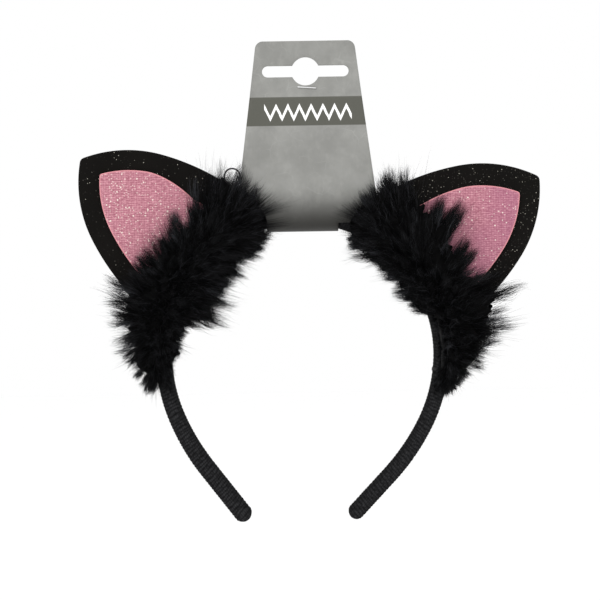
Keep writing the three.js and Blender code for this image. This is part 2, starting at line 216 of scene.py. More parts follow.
def turned(faces, side):
    """The faces of a mirrored piece run the other way round."""
    return [np.asarray(f)[:, ::-1] if side == LEFT else np.asarray(f) for f in faces]


def half_piece(side, name, node, slot, points, faces, materials, inside_out=False):
    """A piece of one half of the band, from points in (across, front, up), replacing a CAD node.
    inside_out is true for faces that are wound the wrong way for the right half."""
    half = SIDE_NAMES[side]
    faces = turned(faces, -side if inside_out else side)
    nodes = [f"{half}_{node}"]
    points = to_row(points, side)
    return make_piece(f"{half}_{name}", points, faces, materials, f"{half}_half", nodes, slot)


def grid_faces(rows, columns, first=0):
    """Quads between rows of points, each row a closed ring."""
    row, column = np.meshgrid(np.arange(rows - 1), np.arange(columns), indexing="ij")
    after = (column + 1) % columns
    quads = np.stack(
        (
            row * columns + column,
            row * columns + after,
            (row + 1) * columns + after,
            (row + 1) * columns + column,
        ),
        axis=-1,
    )
    return quads.reshape(-1, 4) + first


def cap_faces(ring, centre, reverse=False):
    """A fan of triangles from a ring of point numbers to a centre point."""
    ring = np.asarray(ring)
    fan = np.stack((ring, np.roll(ring, -1), np.full(len(ring), centre)), axis=-1)
    return fan[:, ::-1] if reverse else fan


def tube_faces(rows, columns):
    """A tube's faces: its rings' points first, then the middles of its two ends."""
    count = rows * columns
    return [
        grid_faces(rows, columns),
        cap_faces(np.arange(columns), count, reverse=True),
        cap_faces(np.arange(count - columns, count), count + 1),
    ]


def sweep(centres, normals, binormals, ring, scales=None):
    """A closed tube: ring (x, y) points carried along centres. Returns points and faces."""
    ring = np.asarray(ring, float)
    rows, columns = len(centres), len(ring)
    scales = np.ones(rows) if scales is None else scales
    points = (
        centres[:, None]
        + normals[:, None] * (ring[:, 0] * scales[:, None])[..., None]
        + binormals[:, None] * (ring[:, 1] * scales[:, None])[..., None]
    ).reshape(-1, 3)
    return np.concatenate((points, centres[[0, -1]])), tube_faces(rows, columns)


def unit(vectors):
    return vectors / np.maximum(np.linalg.norm(vectors, axis=-1, keepdims=True), 1e-9)


def walked(line):
    """How far along a line each of its points is."""
    return np.concatenate(([0], np.cumsum(np.linalg.norm(np.diff(line, axis=0), axis=1))))


def divided(line, spacing):
    """A line with points added where its own are further apart than the spacing."""
    pieces = [line[:1]]
    for start, end in zip(line[:-1], line[1:]):
        steps = max(1, int(np.linalg.norm(end - start) / spacing))
        pieces.append(start + (end - start) * np.linspace(0, 1, steps + 1)[1:, None])
    return np.concatenate(pieces)


def circle(radius, count):
    angles = np.linspace(0, 2 * math.pi, count, endpoint=False)
    return radius * np.stack((np.cos(angles), np.sin(angles)), axis=-1)


def parallel_frames(line):
    """Normals and binormals along a line of points, turning as little as they can."""
    tangents = unit(np.gradient(line, axis=0))
    normals = []
    normal = np.eye(3)[np.argmin(np.abs(tangents[0]))]
    for tangent in tangents:
        normal = unit(normal - tangent * (normal @ tangent))
        normals.append(normal)
    return np.array(normals), np.cross(tangents, normals)


def through(points, count):
    """A smooth line of evenly spaced points through the given ones (Catmull-Rom)."""
    points = np.asarray(points, float)
    padded = np.concatenate((2 * points[:1] - points[1:2], points, 2 * points[-1:] - points[-2:-1]))
    fine = []
    for a, b, c, d in zip(padded[:-3], padded[1:-2], padded[2:-1], padded[3:]):
        t = np.linspace(0, 1, 16, endpoint=False)[:, None]
        square = (2 * a - 5 * b + 4 * c - d) * t**2
        cube = (3 * b - a - 3 * c + d) * t**3
        fine.append(0.5 * (2 * b + (c - a) * t + square + cube))
    fine = np.concatenate((*fine, points[-1:]))
    distance = walked(fine)
    even = np.linspace(0, distance[-1], count)
    return np.stack([np.interp(even, distance, fine[:, axis]) for axis in range(3)], axis=-1)


def ripple(x, y, wavelength, seed):
    """Gentle, repeatable unevenness between about -1 and 1."""
    rng = np.random.default_rng(seed)
    total = np.zeros(np.broadcast(x, y).shape)
    for _ in range(5):
        heading = rng.uniform(0, 2 * math.pi)
        pace = 2 * math.pi / (wavelength * rng.uniform(0.6, 1.6))
        phase = rng.uniform(0, 2 * math.pi)
        total += np.sin(pace * (x * math.cos(heading) + y * math.sin(heading)) + phase)
    return total / 3


# ---- the band's line ----


def band_line(distance):
    """Across, up and downward turn (radians) of the centreline at distances from the apex."""
    distance = np.asarray(distance, float)
    x, z, turn = np.zeros_like(distance), np.zeros_like(distance), np.zeros_like(distance)
    start, heading = 0.0, 0.0
    for radius, sweep_degrees in ARCS:
        length = radius * math.radians(sweep_degrees)
        step = np.clip(distance - start, 0, length)
        end = heading + step / radius
        x += radius * (np.sin(end) - math.sin(heading))
        z += radius * (np.cos(end) - math.cos(heading))
        turn += step / radius
        start += length
        heading += math.radians(sweep_degrees)
    step = np.maximum(distance - start, 0)
    return x + step * math.cos(heading), z - step * math.sin(heading), turn


CURVED_LENGTH = sum(radius * math.radians(degrees) for radius, degrees in ARCS)


def along(degrees):
    """The distance from the apex to an angle on the crown."""
    return CROWN_RADIUS * np.radians(degrees)


def at_band(distance, out, front):
    """Points beside the band's line, in (across, front, up)."""
    x, z, turn = band_line(distance)
    out = np.asarray(out, float)
    front = np.broadcast_to(np.asarray(front, float), np.broadcast(x, out).shape)
    return np.stack((x + out * np.sin(turn), front, z + out * np.cos(turn)), axis=-1)


def rounded_ring(depth, thickness, corner, count):
    """Points (front, out) round a rounded rectangle, with their outward normals."""
    flat = np.array((depth / 2 - corner, thickness / 2 - corner))
    quarter = corner * math.pi / 2
    lengths = np.array([2 * flat[1], quarter, 2 * flat[0], quarter] * 2)
    starts = np.concatenate(([0], np.cumsum(lengths)))
    corners = flat * ((1, 1), (-1, 1), (-1, -1), (1, -1))
    points, normals = [], []
    for distance in np.linspace(0, starts[-1], count, endpoint=False):
        part = int(np.searchsorted(starts, distance, side="right")) - 1
        share = (distance - starts[part]) / lengths[part]
        quadrant, turning = divmod(part, 2)
        angle = (quadrant + share * turning) * math.pi / 2
        before, centre = corners[quadrant - 1], corners[quadrant]
        if not turning:
            centre = before + (centre - before) * share
        normal = np.array((math.cos(angle), math.sin(angle)))
        points.append(centre + corner * normal)
        normals.append(normal)
    return np.array(points), np.array(normals)


# ---- materials ----


class Value:
    """What a node gives. Sums and products of values add the nodes that work them out."""

    def __init__(self, look, socket):
        self.look = look
        self.socket = socket

    def __add__(self, other):
        return self.look.math("ADD", self, other)

    def __sub__(self, other):
        return self.look.math("SUBTRACT", self, other)

    def __mul__(self, other):
        return self.look.math("MULTIPLY", self, other)

    def __pow__(self, other):
        return self.look.math("POWER", self, other)


class Look:
    """A material being made: its Principled shader, and short calls that add nodes."""

    def __init__(self, name, **values):
        self.material = bpy.data.materials.new(name)
        self.material.use_nodes = True
        self.tree = self.material.node_tree
        self.shader = self.tree.nodes["Principled BSDF"]
        for socket, value in values.items():
            self.shader.inputs[socket.replace("_", " ")].default_value = value

    def feed(self, socket, value):
        if isinstance(value, Value):
            self.tree.links.new(value.socket, socket)
        else:
            socket.default_value = value

    def add(self, kind, inputs=None, **settings):
        """Adds a node and returns what it gives."""
        node = self.tree.nodes.new(kind)
        for key, value in settings.items():
            setattr(node, key, value)
        for key, value in (inputs or {}).items():
            self.feed(node.inputs[key], value)
        return {output.identifier: Value(self, output) for output in node.outputs}

    def math(self, operation, a, b=0.0, clamp=False):
        return self.add("ShaderNodeMath", {0: a, 1: b}, operation=operation, use_clamp=clamp)["Value"]

    def step(self, value, low, high):
        """0 below low and 1 above high, smooth between; the other way round if low is above high."""
        ends = (1.0, 0.0) if low > high else (0.0, 1.0)
        low, high = sorted((low, high))
        inputs = {"Value": value, "From Min": low, "From Max": high}
        inputs.update({"To Min": ends[0], "To Max": ends[1]})
        return self.add("ShaderNodeMapRange", inputs, interpolation_type="SMOOTHSTEP")["Result"]

    def mix(self, share, a, b):
        return self.add("ShaderNodeMix", {0: share, 6: a, 7: b}, data_type="RGBA")["Result_Color"]

    def place(self):
        """The point on the piece at rest, in millimetres."""
        return self.scaled(self.add("ShaderNodeTexCoord")["Object"], 1 / MM)

    def kept(self, name, kind="Vector"):
        """What store() kept on the piece's points: a vector, or a number if kind is "Fac"."""
        return self.add("ShaderNodeAttribute", attribute_name=name)[kind]

    def moved(self, vector, by):
        return self.add("ShaderNodeVectorMath", {0: vector, 1: by}, operation="ADD")["Vector"]

    def scaled(self, vector, scale):
        scale = (scale,) * 3 if isinstance(scale, (int, float)) else scale
        return self.add("ShaderNodeVectorMath", {0: vector, 1: scale}, operation="MULTIPLY")["Vector"]

    def parts(self, vector):
        return self.add("ShaderNodeSeparateXYZ", {0: vector}).values()

    def noise(self, vector, size, detail=2.0, roughness=0.5):
        inputs = {"Vector": vector, "Scale": 1 / size, "Detail": detail, "Roughness": roughness}
        return self.add("ShaderNodeTexNoise", inputs)["Fac"]

    def wave(self, value, pitch, sharpness=1.0):
        """0 to 1 and back over each pitch."""
        raised = self.math("SINE", value * (2 * math.pi / pitch)) * 0.5 + 0.5
        return raised**sharpness if sharpness != 1.0 else raised

    def specks(self, vector, size, share, radius):
        """Round specks in a share of random cells: 1 inside, 0 outside, and each cell's own number."""
        cells = self.add("ShaderNodeTexVoronoi", {"Vector": vector, "Scale": 1 / size})
        chance, tone, _ = self.parts(cells["Color"])
        chosen = self.math("GREATER_THAN", chance, 1 - share)
        return chosen * self.step(cells["Distance"], radius, radius * 0.5), tone

    def finished(self, colour, roughness, height, lift):
        """The material, with its surface raised by up to lift millimetres where height is 1."""
        raised = self.add("ShaderNodeBump", {"Height": height, "Distance": lift * MM, "Strength": 1.0})
        self.feed(self.shader.inputs["Base Color"], colour)
        self.feed(self.shader.inputs["Roughness"], roughness)
        self.feed(self.shader.inputs["Normal"], raised["Normal"])
        return self.material


def grey(level):
    return (level, level, level, 1)


def knit_look():
    """Black ribbed knit: stitches along each rib, lint, and a painted highlight on the rib crests,
    brightest on the flats that face front and back, with painted shade in the grooves and on the
    sides.
    """
    look = Look("black_ribbed_knit", Specular_IOR_Level=0.03, Sheen_Weight=0.01, Sheen_Roughness=0.5)
    cloth = look.kept("cloth")
    across, around, _ = look.parts(cloth)
    crest = look.kept("crest", "Fac")
    painted_flat_light = look.kept("painted_flat_light", "Fac")
    stitch = look.wave(around, 0.85, 0.7)
    slant = look.wave(across + around, 0.55)
    lint = look.noise(look.place(), 0.5, 4.0, 0.7)
    patch = look.noise(look.place(), 9.0)
    broken = look.step(look.noise(look.place(), 1.5, 2.0, 0.6), 0.36, 0.60)
    # Painted light: rib crests are painted lighter than the grooves, and the front and back flats
    # lighter than the sides.
    lit = crest * (stitch * 0.5 + 0.5)
    lit = look.math("MULTIPLY", lit, lint * 0.9 + 0.5, clamp=True)
    lit = lit * (broken * 0.6 + 0.4) * painted_flat_light
    dark = look.mix(patch, (0.0020, 0.0020, 0.0022, 1), (0.0040, 0.0040, 0.0043, 1))
    colour = look.mix(lit, dark, (0.034, 0.034, 0.036, 1))
    return look.finished(colour, lint * 0.15 + 0.75, stitch * 0.6 + slant * 0.3 + lint * 0.7, 0.12)


def glitter_look(name, amount):
    """Black cloth with fine glitter, its grains painted pale as faint and bright painted glints.
    amount is the share of places that carry a grain."""
    look = Look(name, Specular_IOR_Level=0.06)
    place = look.place()
    nap = look.noise(place, 0.35, 3.0, 0.7)
    cloud = look.noise(place, 14.0, 3.0)
    ground = look.mix(cloud, (0.0034, 0.0030, 0.0026, 1), (0.0068, 0.0060, 0.0052, 1))
    # Painted glints: faint and bright grains are painted pale in the colour, standing for light the
    # glitter reflects.
    faint_glint, faint_glint_tone = look.specks(place, 0.8, amount * 1.6, 0.36)
    grain, grain_tone = look.specks(look.moved(place, (7.3, 2.1, 4.4)), 1.0, amount, 0.24)
    painted_faint_glint = faint_glint * (faint_glint_tone * 0.75)
    colour = look.mix(painted_faint_glint, ground, (0.085, 0.080, 0.070, 1))
    painted_bright_glint = grain * (grain_tone**2.0 * 0.85 + 0.15)
    flat = look.math("MAXIMUM", painted_faint_glint, painted_bright_glint)
    colour = look.mix(painted_bright_glint, colour, (0.42, 0.40, 0.34, 1))
    return look.finished(colour, look.mix(flat, grey(0.8), grey(0.35)), nap + flat * 0.8, 0.08)


def pink_look(name, glitter, plum):
    """Pink cloth woven with a metallic thread: a visible grid, painted white glints and a paler cut
    edge.
    glitter is the share of cells that carry a glint, plum how far the cloth turns to a deeper tone."""
    look = Look(name, Specular_IOR_Level=0.2, Sheen_Weight=0.03, Sheen_Roughness=0.4)
    place = look.place()
    wander = look.noise(place, 5.0)
    across, _, up = look.parts(place)
    across = across + wander * 0.5
    up = up + wander * 0.7
    warp = look.wave(across, 1.12)
    weft = look.wave(up, 1.02)
    threads = warp * 0.38 + weft * 0.62
    cloud = look.noise(place, 6.0, 3.0)
    fibre = look.noise(look.scaled(place, (0.5, 1, 2.0)), 0.8, 3.0, 0.7)
    uneven = look.step(fibre, 0.3, 0.72)
    tone = look.math("MULTIPLY", threads + 0.35, uneven, clamp=True)
    ground = look.mix(cloud, (0.26, 0.075, 0.112, 1), (0.33, 0.105, 0.147, 1))
    colour = look.mix(tone, ground, (0.64, 0.31, 0.36, 1))
    shadow = look.step(look.noise(place, 26.0, 2.0), 0.3, 0.7) * plum
    colour = look.mix(shadow, colour, (0.27, 0.075, 0.16, 1))
    # Painted glints: pale and bright specks painted into the colour stand for light the metallic
    # thread reflects.
    small, small_tone = look.specks(place, 0.95, glitter, 0.36)
    large, large_tone = look.specks(look.moved(place, (3.7, 9.2, 1.4)), 1.7, glitter * 0.8, 0.26)
    pale = small * (small_tone * 0.85)
    colour = look.mix(pale, colour, (0.80, 0.66, 0.60, 1))
    bright = large * (large_tone * 0.6 + 0.4)
    colour = look.mix(bright, colour, (0.98, 0.92, 0.80, 1))
    glint = look.math("MAXIMUM", pale, bright)
    colour = look.mix(look.kept("rim", "Fac"), colour, (0.66, 0.27, 0.30, 1))
    roughness = look.mix(glint, grey(0.62), grey(0.25))
    return look.finished(colour, roughness, threads + glint * 0.6, 0.1)


def felt_look(name, dark, pale):
    """Matted fibres in every direction."""
    look = Look(name, Specular_IOR_Level=0.15, Sheen_Weight=0.15, Sheen_Roughness=0.6)
    place = look.place()
    fibres = look.noise(look.scaled(place, (1, 1, 2.6)), 0.45, 5.0, 0.75)
    crossing = look.noise(look.scaled(place, (2.8, 1, 1)), 0.5, 5.0, 0.75)
    tufts = look.noise(place, 2.2, 3.0)
    mat = (fibres + crossing) * 0.5
    shade = look.step(mat * 0.8 + tufts * 0.2, 0.35, 0.68)
    return look.finished(look.mix(shade, dark, pale), tufts * 0.1 + 0.86, mat, 0.2)


def plastic_look():
    look = Look("moulded_black_plastic", Specular_IOR_Level=0.4)
    grain = look.noise(look.place(), 0.6, 3.0)
    colour = look.mix(grain, (0.012, 0.012, 0.013, 1), (0.020, 0.020, 0.022, 1))
    return look.finished(colour, grain * 0.2 + 0.35, grain, 0.03)


def glue_look():
    """Set hot-melt glue: cloudy, yellowish and shiny, with small bubbles."""
    look = Look("hot_melt_glue", Subsurface_Weight=0.3, Subsurface_Scale=0.002, Coat_Weight=0.3)
    place = look.place()
    cloud = look.noise(place, 1.6, 3.0)
    bubbles, _ = look.specks(place, 0.7, 0.2, 0.3)
    tone = look.mix(cloud, (0.50, 0.47, 0.38, 1), (0.62, 0.60, 0.52, 1))
    colour = look.mix(bubbles * 0.5, tone, (0.75, 0.73, 0.68, 1))
    return look.finished(colour, cloud * 0.2 + 0.15, cloud, 0.15)


def thread_look():
    """Twisted black cotton: the ply shows as slanting bands along the thread, the raised ply painted
    lighter as a painted highlight and the grooves darker as painted shade.
    """
    look = Look("black_twisted_thread", Specular_IOR_Level=0.2, Sheen_Weight=0.1)
    across, front, up = look.parts(look.place())
    ply = look.wave(up + across * 0.6 + front, 0.55, 0.8)
    fuzz = look.noise(look.place(), 0.2, 3.0)
    # Painted light: the colour follows the ply's height, lighter on the raised ply and darker in the
    # grooves.
    tone = ply * (fuzz * 0.6 + 0.4)
    colour = look.mix(tone, (0.004, 0.004, 0.0045, 1), (0.022, 0.022, 0.024, 1))
    return look.finished(colour, fuzz * 0.2 + 0.7, ply, 0.12)


def staple_look():
    """Bright galvanised wire with drawn lines along it and small scuffs."""
    look = Look("galvanised_wire", Metallic=1.0)
    place = look.place()
    lines = look.noise(look.scaled(place, (0.3, 1, 6)), 0.12, 3.0)
    scuffs = look.noise(place, 0.7, 4.0, 0.7)
    colour = look.mix(scuffs, grey(0.62), (0.90, 0.90, 0.91, 1))
    return look.finished(colour, lines * 0.3 + 0.16, lines, 0.02)


def card_look():
    """Printed grey card: a mottled ground that darkens to the fold, partly printed and partly painted
    shade, faint hairlines, and a dark stripe with a plain zigzag on it."""
    look = Look("printed_grey_card", Specular_IOR_Level=0.2)
    place = look.place()
    across, depth, up = look.parts(place)
    front = look.step(depth, 1.0, -1.0)
    cloud = look.noise(place, 16.0, 4.0, 0.6)
    smudge = look.noise(look.scaled(place, (1, 1, 0.6)), 4.0, 4.0, 0.65)
    fibre = look.noise(place, 0.5, 3.0, 0.7)
    wobble = look.noise(place, 3.0) * 0.5

    ground = look.mix(look.step(cloud, 0.3, 0.72), (0.215, 0.215, 0.203, 1), (0.268, 0.268, 0.254, 1))
    smudged = look.step(smudge, 0.45, 0.75) * 0.3
    ground = look.mix(smudged, ground, (0.33, 0.33, 0.31, 1))

    drift = look.add("ShaderNodeTexNoise", {"Vector": place, "Scale": 0.2})["Color"]
    bent = look.moved(place, look.scaled(drift, 3.0))
    cells = {"Vector": bent, "Scale": 1 / 7.5}
    cracks = look.add("ShaderNodeTexVoronoi", cells, feature="DISTANCE_TO_EDGE")["Distance"]
    hairline = look.step(cracks, 0.022, 0.006)
    patchy = look.step(look.noise(place, 9.0), 0.48, 0.62)
    hairline = hairline * (patchy * 0.12)
    ground = look.mix(hairline, ground, (0.50, 0.50, 0.48, 1))

    # Darker towards the fold on the front panel: partly a printed gradient, partly painted shade where
    # the card curves away under the band.
    fold_print_and_shade = look.step(up, -50.0, -69.0) * (front * 0.92)
    ground = look.mix(fold_print_and_shade, ground, (0.012, 0.011, 0.009, 1))

    above = look.step(up, -11.5, -11.3)
    below = look.step(up, -24.4, -24.2)
    stripe = (below - above) * front
    stripe_tone = look.mix(fibre, (0.078, 0.078, 0.064, 1), (0.098, 0.098, 0.084, 1))
    colour = look.mix(stripe, ground, stripe_tone)

    swing = look.math("PINGPONG", across + wobble, 2.6)
    target = swing * 2.15 - 20.9
    off = look.math("ABSOLUTE", up + wobble - target)
    stroke = look.step(off, 1.35, 1.05)
    within = look.step(across, -18.6, -18.4) * look.step(across, 20.4, 20.2)
    mark = stroke * within * front
    colour = look.mix(mark, colour, (0.93, 0.93, 0.92, 1))

    edge = look.kept("rim", "Fac") * look.step(up, -52.0, -44.0)
    colour = look.mix(edge * 0.7, colour, (0.34, 0.34, 0.33, 1))
    return look.finished(colour, smudge * 0.2 + 0.42, fibre + cloud * 2.0, 0.02)


def down_looks():
    """Marabou barbs in plain tones from deep black to a greyer, softer one, the greyest a painted
    highlight; the mix of barbs that carry each tone, and not a texture, gives the down its depth."""
    tones = (
        (0.0014, 0.0014, 0.0016),
        (0.003, 0.003, 0.0034),
        (0.010, 0.010, 0.0115),
        # Painted highlight: the palest tone stands for light caught on the down.
        (0.046, 0.048, 0.055),
    )
    return [
        Look(
            f"marabou_down_{index + 1}",
            Base_Color=(*tone, 1),
            Roughness=0.75,
            Specular_IOR_Level=0.06 + 0.05 * index,
        ).material
        for index, tone in enumerate(tones)
    ]


KNIT = knit_look()
GLITTER = {
    LEFT: glitter_look("black_glitter_left", 0.10),
    RIGHT: glitter_look("black_glitter_right", 0.30),
}
PINK = {
    LEFT: pink_look("pink_lame_left", 0.52, 0.0),
    RIGHT: pink_look("pink_lame_right", 0.18, 0.36),
}
FELT = felt_look("black_felt", (0.003, 0.003, 0.0034, 1), (0.020, 0.020, 0.022, 1))
INTERLINING = felt_look("grey_interlining", (0.012, 0.012, 0.012, 1), (0.05, 0.05, 0.05, 1))
PLASTIC = plastic_look()
GLUE = glue_look()
THREAD = thread_look()
STEEL = staple_look()
CARD = card_look()
DOWN = down_looks()


# ---- camera ----

# The camera stands level in front, far enough back to flatten the view as a long lens does.
VIEW_WIDTH = 267
VIEW_CENTRE = (-3.95, -101.7)
LENS = 120
SENSOR = 36
CAMERA_ROLL = math.radians(0.9)


def add_camera():
    data = bpy.data.cameras.new("camera")
    data.lens = LENS
    data.sensor_width = SENSOR
    data.clip_start = 0.01
    camera = in_scene("camera", data)
    distance = LENS / SENSOR * VIEW_WIDTH * MM
    camera.location = (VIEW_CENTRE[0] * MM, -distance, VIEW_CENTRE[1] * MM)
    camera.rotation_euler = (math.pi / 2, CAMERA_ROLL, 0)
    bpy.context.scene.camera = camera


add_camera()


# ---- the thread loop, a free end of the left marabou cord ----


def add_loop():
    data = bpy.data.curves.new("left_thread_loop", "CURVE")
    data.dimensions = "3D"
    data.bevel_depth = LOOP_DIAMETER / 2 * MM
    data.bevel_resolution = 3
    data.use_fill_caps = True
    line = to_row(through(LOOP_POINTS, 90), LEFT)
    spline = data.splines.new("POLY")
    spline.points.add(len(line) - 1)
    for point, place in zip(spline.points, line):
        point.co = (*place, 1)
    data.materials.append(THREAD)
    loop = in_scene("left_thread_loop", data)
    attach(loop, "left_half")
    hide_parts("left_marabou_end_loop")
    tuple(line[0])


add_loop()


# ---- flat pieces cut from sheet ----


def loop_normals(loop):
    """Outward normals of a closed outline that runs anticlockwise."""
    direction = unit(np.roll(loop, -1, axis=0) - np.roll(loop, 1, axis=0))
    return np.stack((direction[:, 1], -direction[:, 0]), axis=-1)


def inside(points, loop):
    """Which points lie inside a closed outline."""
    x, y = points[:, 0:1], points[:, 1:2]
    x1, y1 = loop[:, 0], loop[:, 1]
    x2, y2 = np.roll(x1, -1), np.roll(y1, -1)
    spans = (y1 > y) != (y2 > y)
    crossing = x1 + (y - y1) * (x2 - x1) / np.where(y2 == y1, 1e-12, y2 - y1)
    return (spans & (x < crossing)).sum(axis=1) % 2 == 1


def fill(loops, spacing):
    """Points and triangles that fill the first outline and leave out the others. The outlines' own
    points come first, in order."""
    low, high = loops[0].min(axis=0), loops[0].max(axis=0)
    columns = np.arange(low[0], high[0], spacing)
    rows = np.arange(low[1], high[1], spacing * 0.87)
    grid = np.stack(np.meshgrid(columns, rows, indexing="ij"), axis=-1)
    grid[:, 1::2, 0] += spacing / 2
    grid = grid.reshape(-1, 2)
    keep = inside(grid, loops[0])
    for loop in loops[1:]:
        keep &= ~inside(grid, loop)
    grid = grid[keep]
    rim = np.concatenate(loops)
    nearest = np.min(np.linalg.norm(grid[:, None] - rim[None], axis=-1), axis=1)
    grid = grid[nearest > spacing * 0.55]
    points = np.concatenate((rim, grid))
    edges, first = [], 0
    for loop in loops:
        edges += [(first + i, first + (i + 1) % len(loop)) for i in range(len(loop))]
        first += len(loop)
    found = geometry.delaunay_2d_cdt([Vector(p) for p in points], edges, [], 0, 1e-9)
    corners = np.array([tuple(v) for v in found[0]])
    triangles = np.array(found[2])
    middles = corners[triangles].mean(axis=1)
    wanted = inside(middles, loops[0])
    for loop in loops[1:]:
        wanted &= ~inside(middles, loop)
    return corners, triangles[wanted]


def cut_sheet(loops, spacing, rim, front_depth, back_depth, place):
    """A sheet with a shaped edge. rim lists (outwards, share of the way to the back) from the front
    edge to the back edge; place turns (u, v, depth) into points. Returns points, faces and how near
    the cut edge each point is."""
    flat, triangles = fill(loops, spacing)
    count = len(flat)
    points = [place(flat, front_depth(flat)), place(flat, back_depth(flat))]
    faces = [triangles, triangles[:, ::-1] + count]
    nearness = [np.zeros(count), np.zeros(count)]
    total, first = 2 * count, 0
    for loop in loops:
        size = len(loop)
        normals = loop_normals(loop)
        rings = [np.arange(first, first + size)]
        for outwards, share in rim:
            ring = loop + normals * outwards
            depth = front_depth(loop) * (1 - share) + back_depth(loop) * share
            points.append(place(ring, depth))
            nearness.append(np.ones(size))
            rings.append(np.arange(total, total + size))
            total += size
        rings.append(np.arange(first, first + size) + count)
        for upper, lower in zip(rings[:-1], rings[1:]):
            faces.append(np.stack((upper, lower, np.roll(lower, -1), np.roll(upper, -1)), axis=-1))
        first += size
    return np.concatenate(points), faces, np.concatenate(nearness)


def arc(centre, radius, start, end, spacing):
    """Points along an arc between two angles in radians."""
    count = max(2, int(abs(end - start) * radius / spacing) + 1)
    angles = np.linspace(start, end, count)
    return np.asarray(centre) + radius * np.stack((np.cos(angles), np.sin(angles)), axis=-1)


def joined(*lines):
    """One closed outline from lines that meet, without doubled points."""
    points = np.concatenate(lines)
    apart = np.linalg.norm(points - np.roll(points, 1, axis=0), axis=1) > 1e-3
    return points[apart]


# ---- the header card ----


def card_half_width(height):
    return CARD_TOP_HALF + CARD_FLARE * (CARD_TOP - height)


def card_path():
    """The folded card's middle line: distances, and the depth, height and outward normal there."""
    centre = APEX_HEIGHT - FOLD_BOTTOM + FOLD_RADIUS
    rise = CARD_PRESSED_TO - centre
    radius = FOLD_RADIUS - CARD_THICKNESS / 2
    top = (CARD_PANEL_GAP + CARD_THICKNESS) / 2
    leave = math.asin(radius / math.hypot(top, rise)) - math.atan2(top, rise)
    angles = np.linspace(math.pi - leave, 2 * math.pi + leave, 60)
    fold = np.stack((radius * np.cos(angles), centre + radius * np.sin(angles)), axis=-1)
    front = np.array([(-top, CARD_TOP), (-top, CARD_PRESSED_TO)])
    line = np.concatenate((front, fold, front[::-1] * (-1, 1)))
    line = divided(line, 1.5)
    direction = unit(np.gradient(line, axis=0))
    normal = np.stack((direction[:, 1], -direction[:, 0]), axis=-1)
    return walked(line), line, normal


CARD_DISTANCE, CARD_LINE, CARD_NORMAL = card_path()
CARD_LENGTH = CARD_DISTANCE[-1]


def card_place(flat, depth):
    """A point of the unfolded card (across, distance from the front's top), set in the folded card."""
    across, distance = flat[:, 0], flat[:, 1]
    table = np.concatenate((CARD_LINE, CARD_NORMAL), axis=1).T
    y, z, ny, nz = (np.interp(distance, CARD_DISTANCE, row) for row in table)
    return np.stack((across, y + ny * depth, z + nz * depth), axis=-1) * MM


def card_distance(height):
    """How far down the unfolded front panel a height is."""
    fall = CARD_LINE[: len(CARD_LINE) // 2]
    return float(np.interp(-height, -fall[:, 1], CARD_DISTANCE[: len(fall)]))


def card_edge(side):
    """One side of the unfolded card, from the front panel's top to the back panel's. Both panels
    are notched at the fold, where the band passes."""
    shoulder = card_distance(APEX_HEIGHT - FOLD_SHOULDER)
    cut = card_distance(APEX_HEIGHT + CARD_CUT_TOP)
    lean = math.atan(CARD_FLARE)
    corner_across = card_half_width(CARD_TOP - CARD_CORNER) - CARD_CORNER / math.cos(lean)
    corner = arc((corner_across, CARD_CORNER), CARD_CORNER, -math.pi / 2, -lean, 0.5)
    edges = np.array(
        [
            (card_half_width(APEX_HEIGHT + CARD_CUT_TOP), cut),
            (SHOULDER_HALF_WIDTH, shoulder),
            (FOLD_HALF_WIDTH[side], shoulder),
            (FOLD_HALF_WIDTH[side], CARD_LENGTH / 2),
        ]
    )
    quarter = divided(np.concatenate((corner, edges)), 0.9)
    edge = np.concatenate((quarter, (quarter * (1, -1) + (0, CARD_LENGTH))[::-1]))
    return edge if side == RIGHT else (edge * (-1, 1))[::-1]


def hang_hole(distance):
    """The round hole with its slot, round a centre that far down the unfolded card, clockwise."""
    half = SLOT_HEIGHT / 2
    meet = math.asin(half / HOLE_RADIUS)
    end = SLOT_WIDTH / 2 - half
    centre = np.array((0, distance))
    return joined(
        arc(centre + (end, 0), half, math.pi / 2, -math.pi / 2, 0.4),
        arc(centre, HOLE_RADIUS, -meet, meet - math.pi, 0.5),
        arc(centre - (end, 0), half, -math.pi / 2, -3 * math.pi / 2, 0.4),
        arc(centre, HOLE_RADIUS, math.pi - meet, meet, 0.5),
    )


def add_card():
    hole_down = CARD_TOP
    outline = joined(card_edge(RIGHT), card_edge(LEFT))
    loops = [outline, hang_hole(hole_down), hang_hole(CARD_LENGTH - hole_down)]

    def bow(flat):
        across, distance = flat[:, 0], flat[:, 1]
        panel = np.sin(np.clip(distance / CARD_LENGTH, 0, 1) * 2 * math.pi) ** 2
        return CARD_BOW * panel * ripple(across, distance, 45, 5)

    points, faces, rim = cut_sheet(
        loops,
        1.3,
        ((0.06, 0.2), (0.08, 0.5), (0.06, 0.8)),
        lambda flat: CARD_THICKNESS / 2 + bow(flat),
        lambda flat: -CARD_THICKNESS / 2 + bow(flat),
        card_place,
    )
    faces = turned(faces, LEFT)
    card = make_piece("folded_header_card", points, faces, [CARD], "card", ["header_card"], "card")
    store(card, "rim", rim)


add_card()


# ---- the staple ----


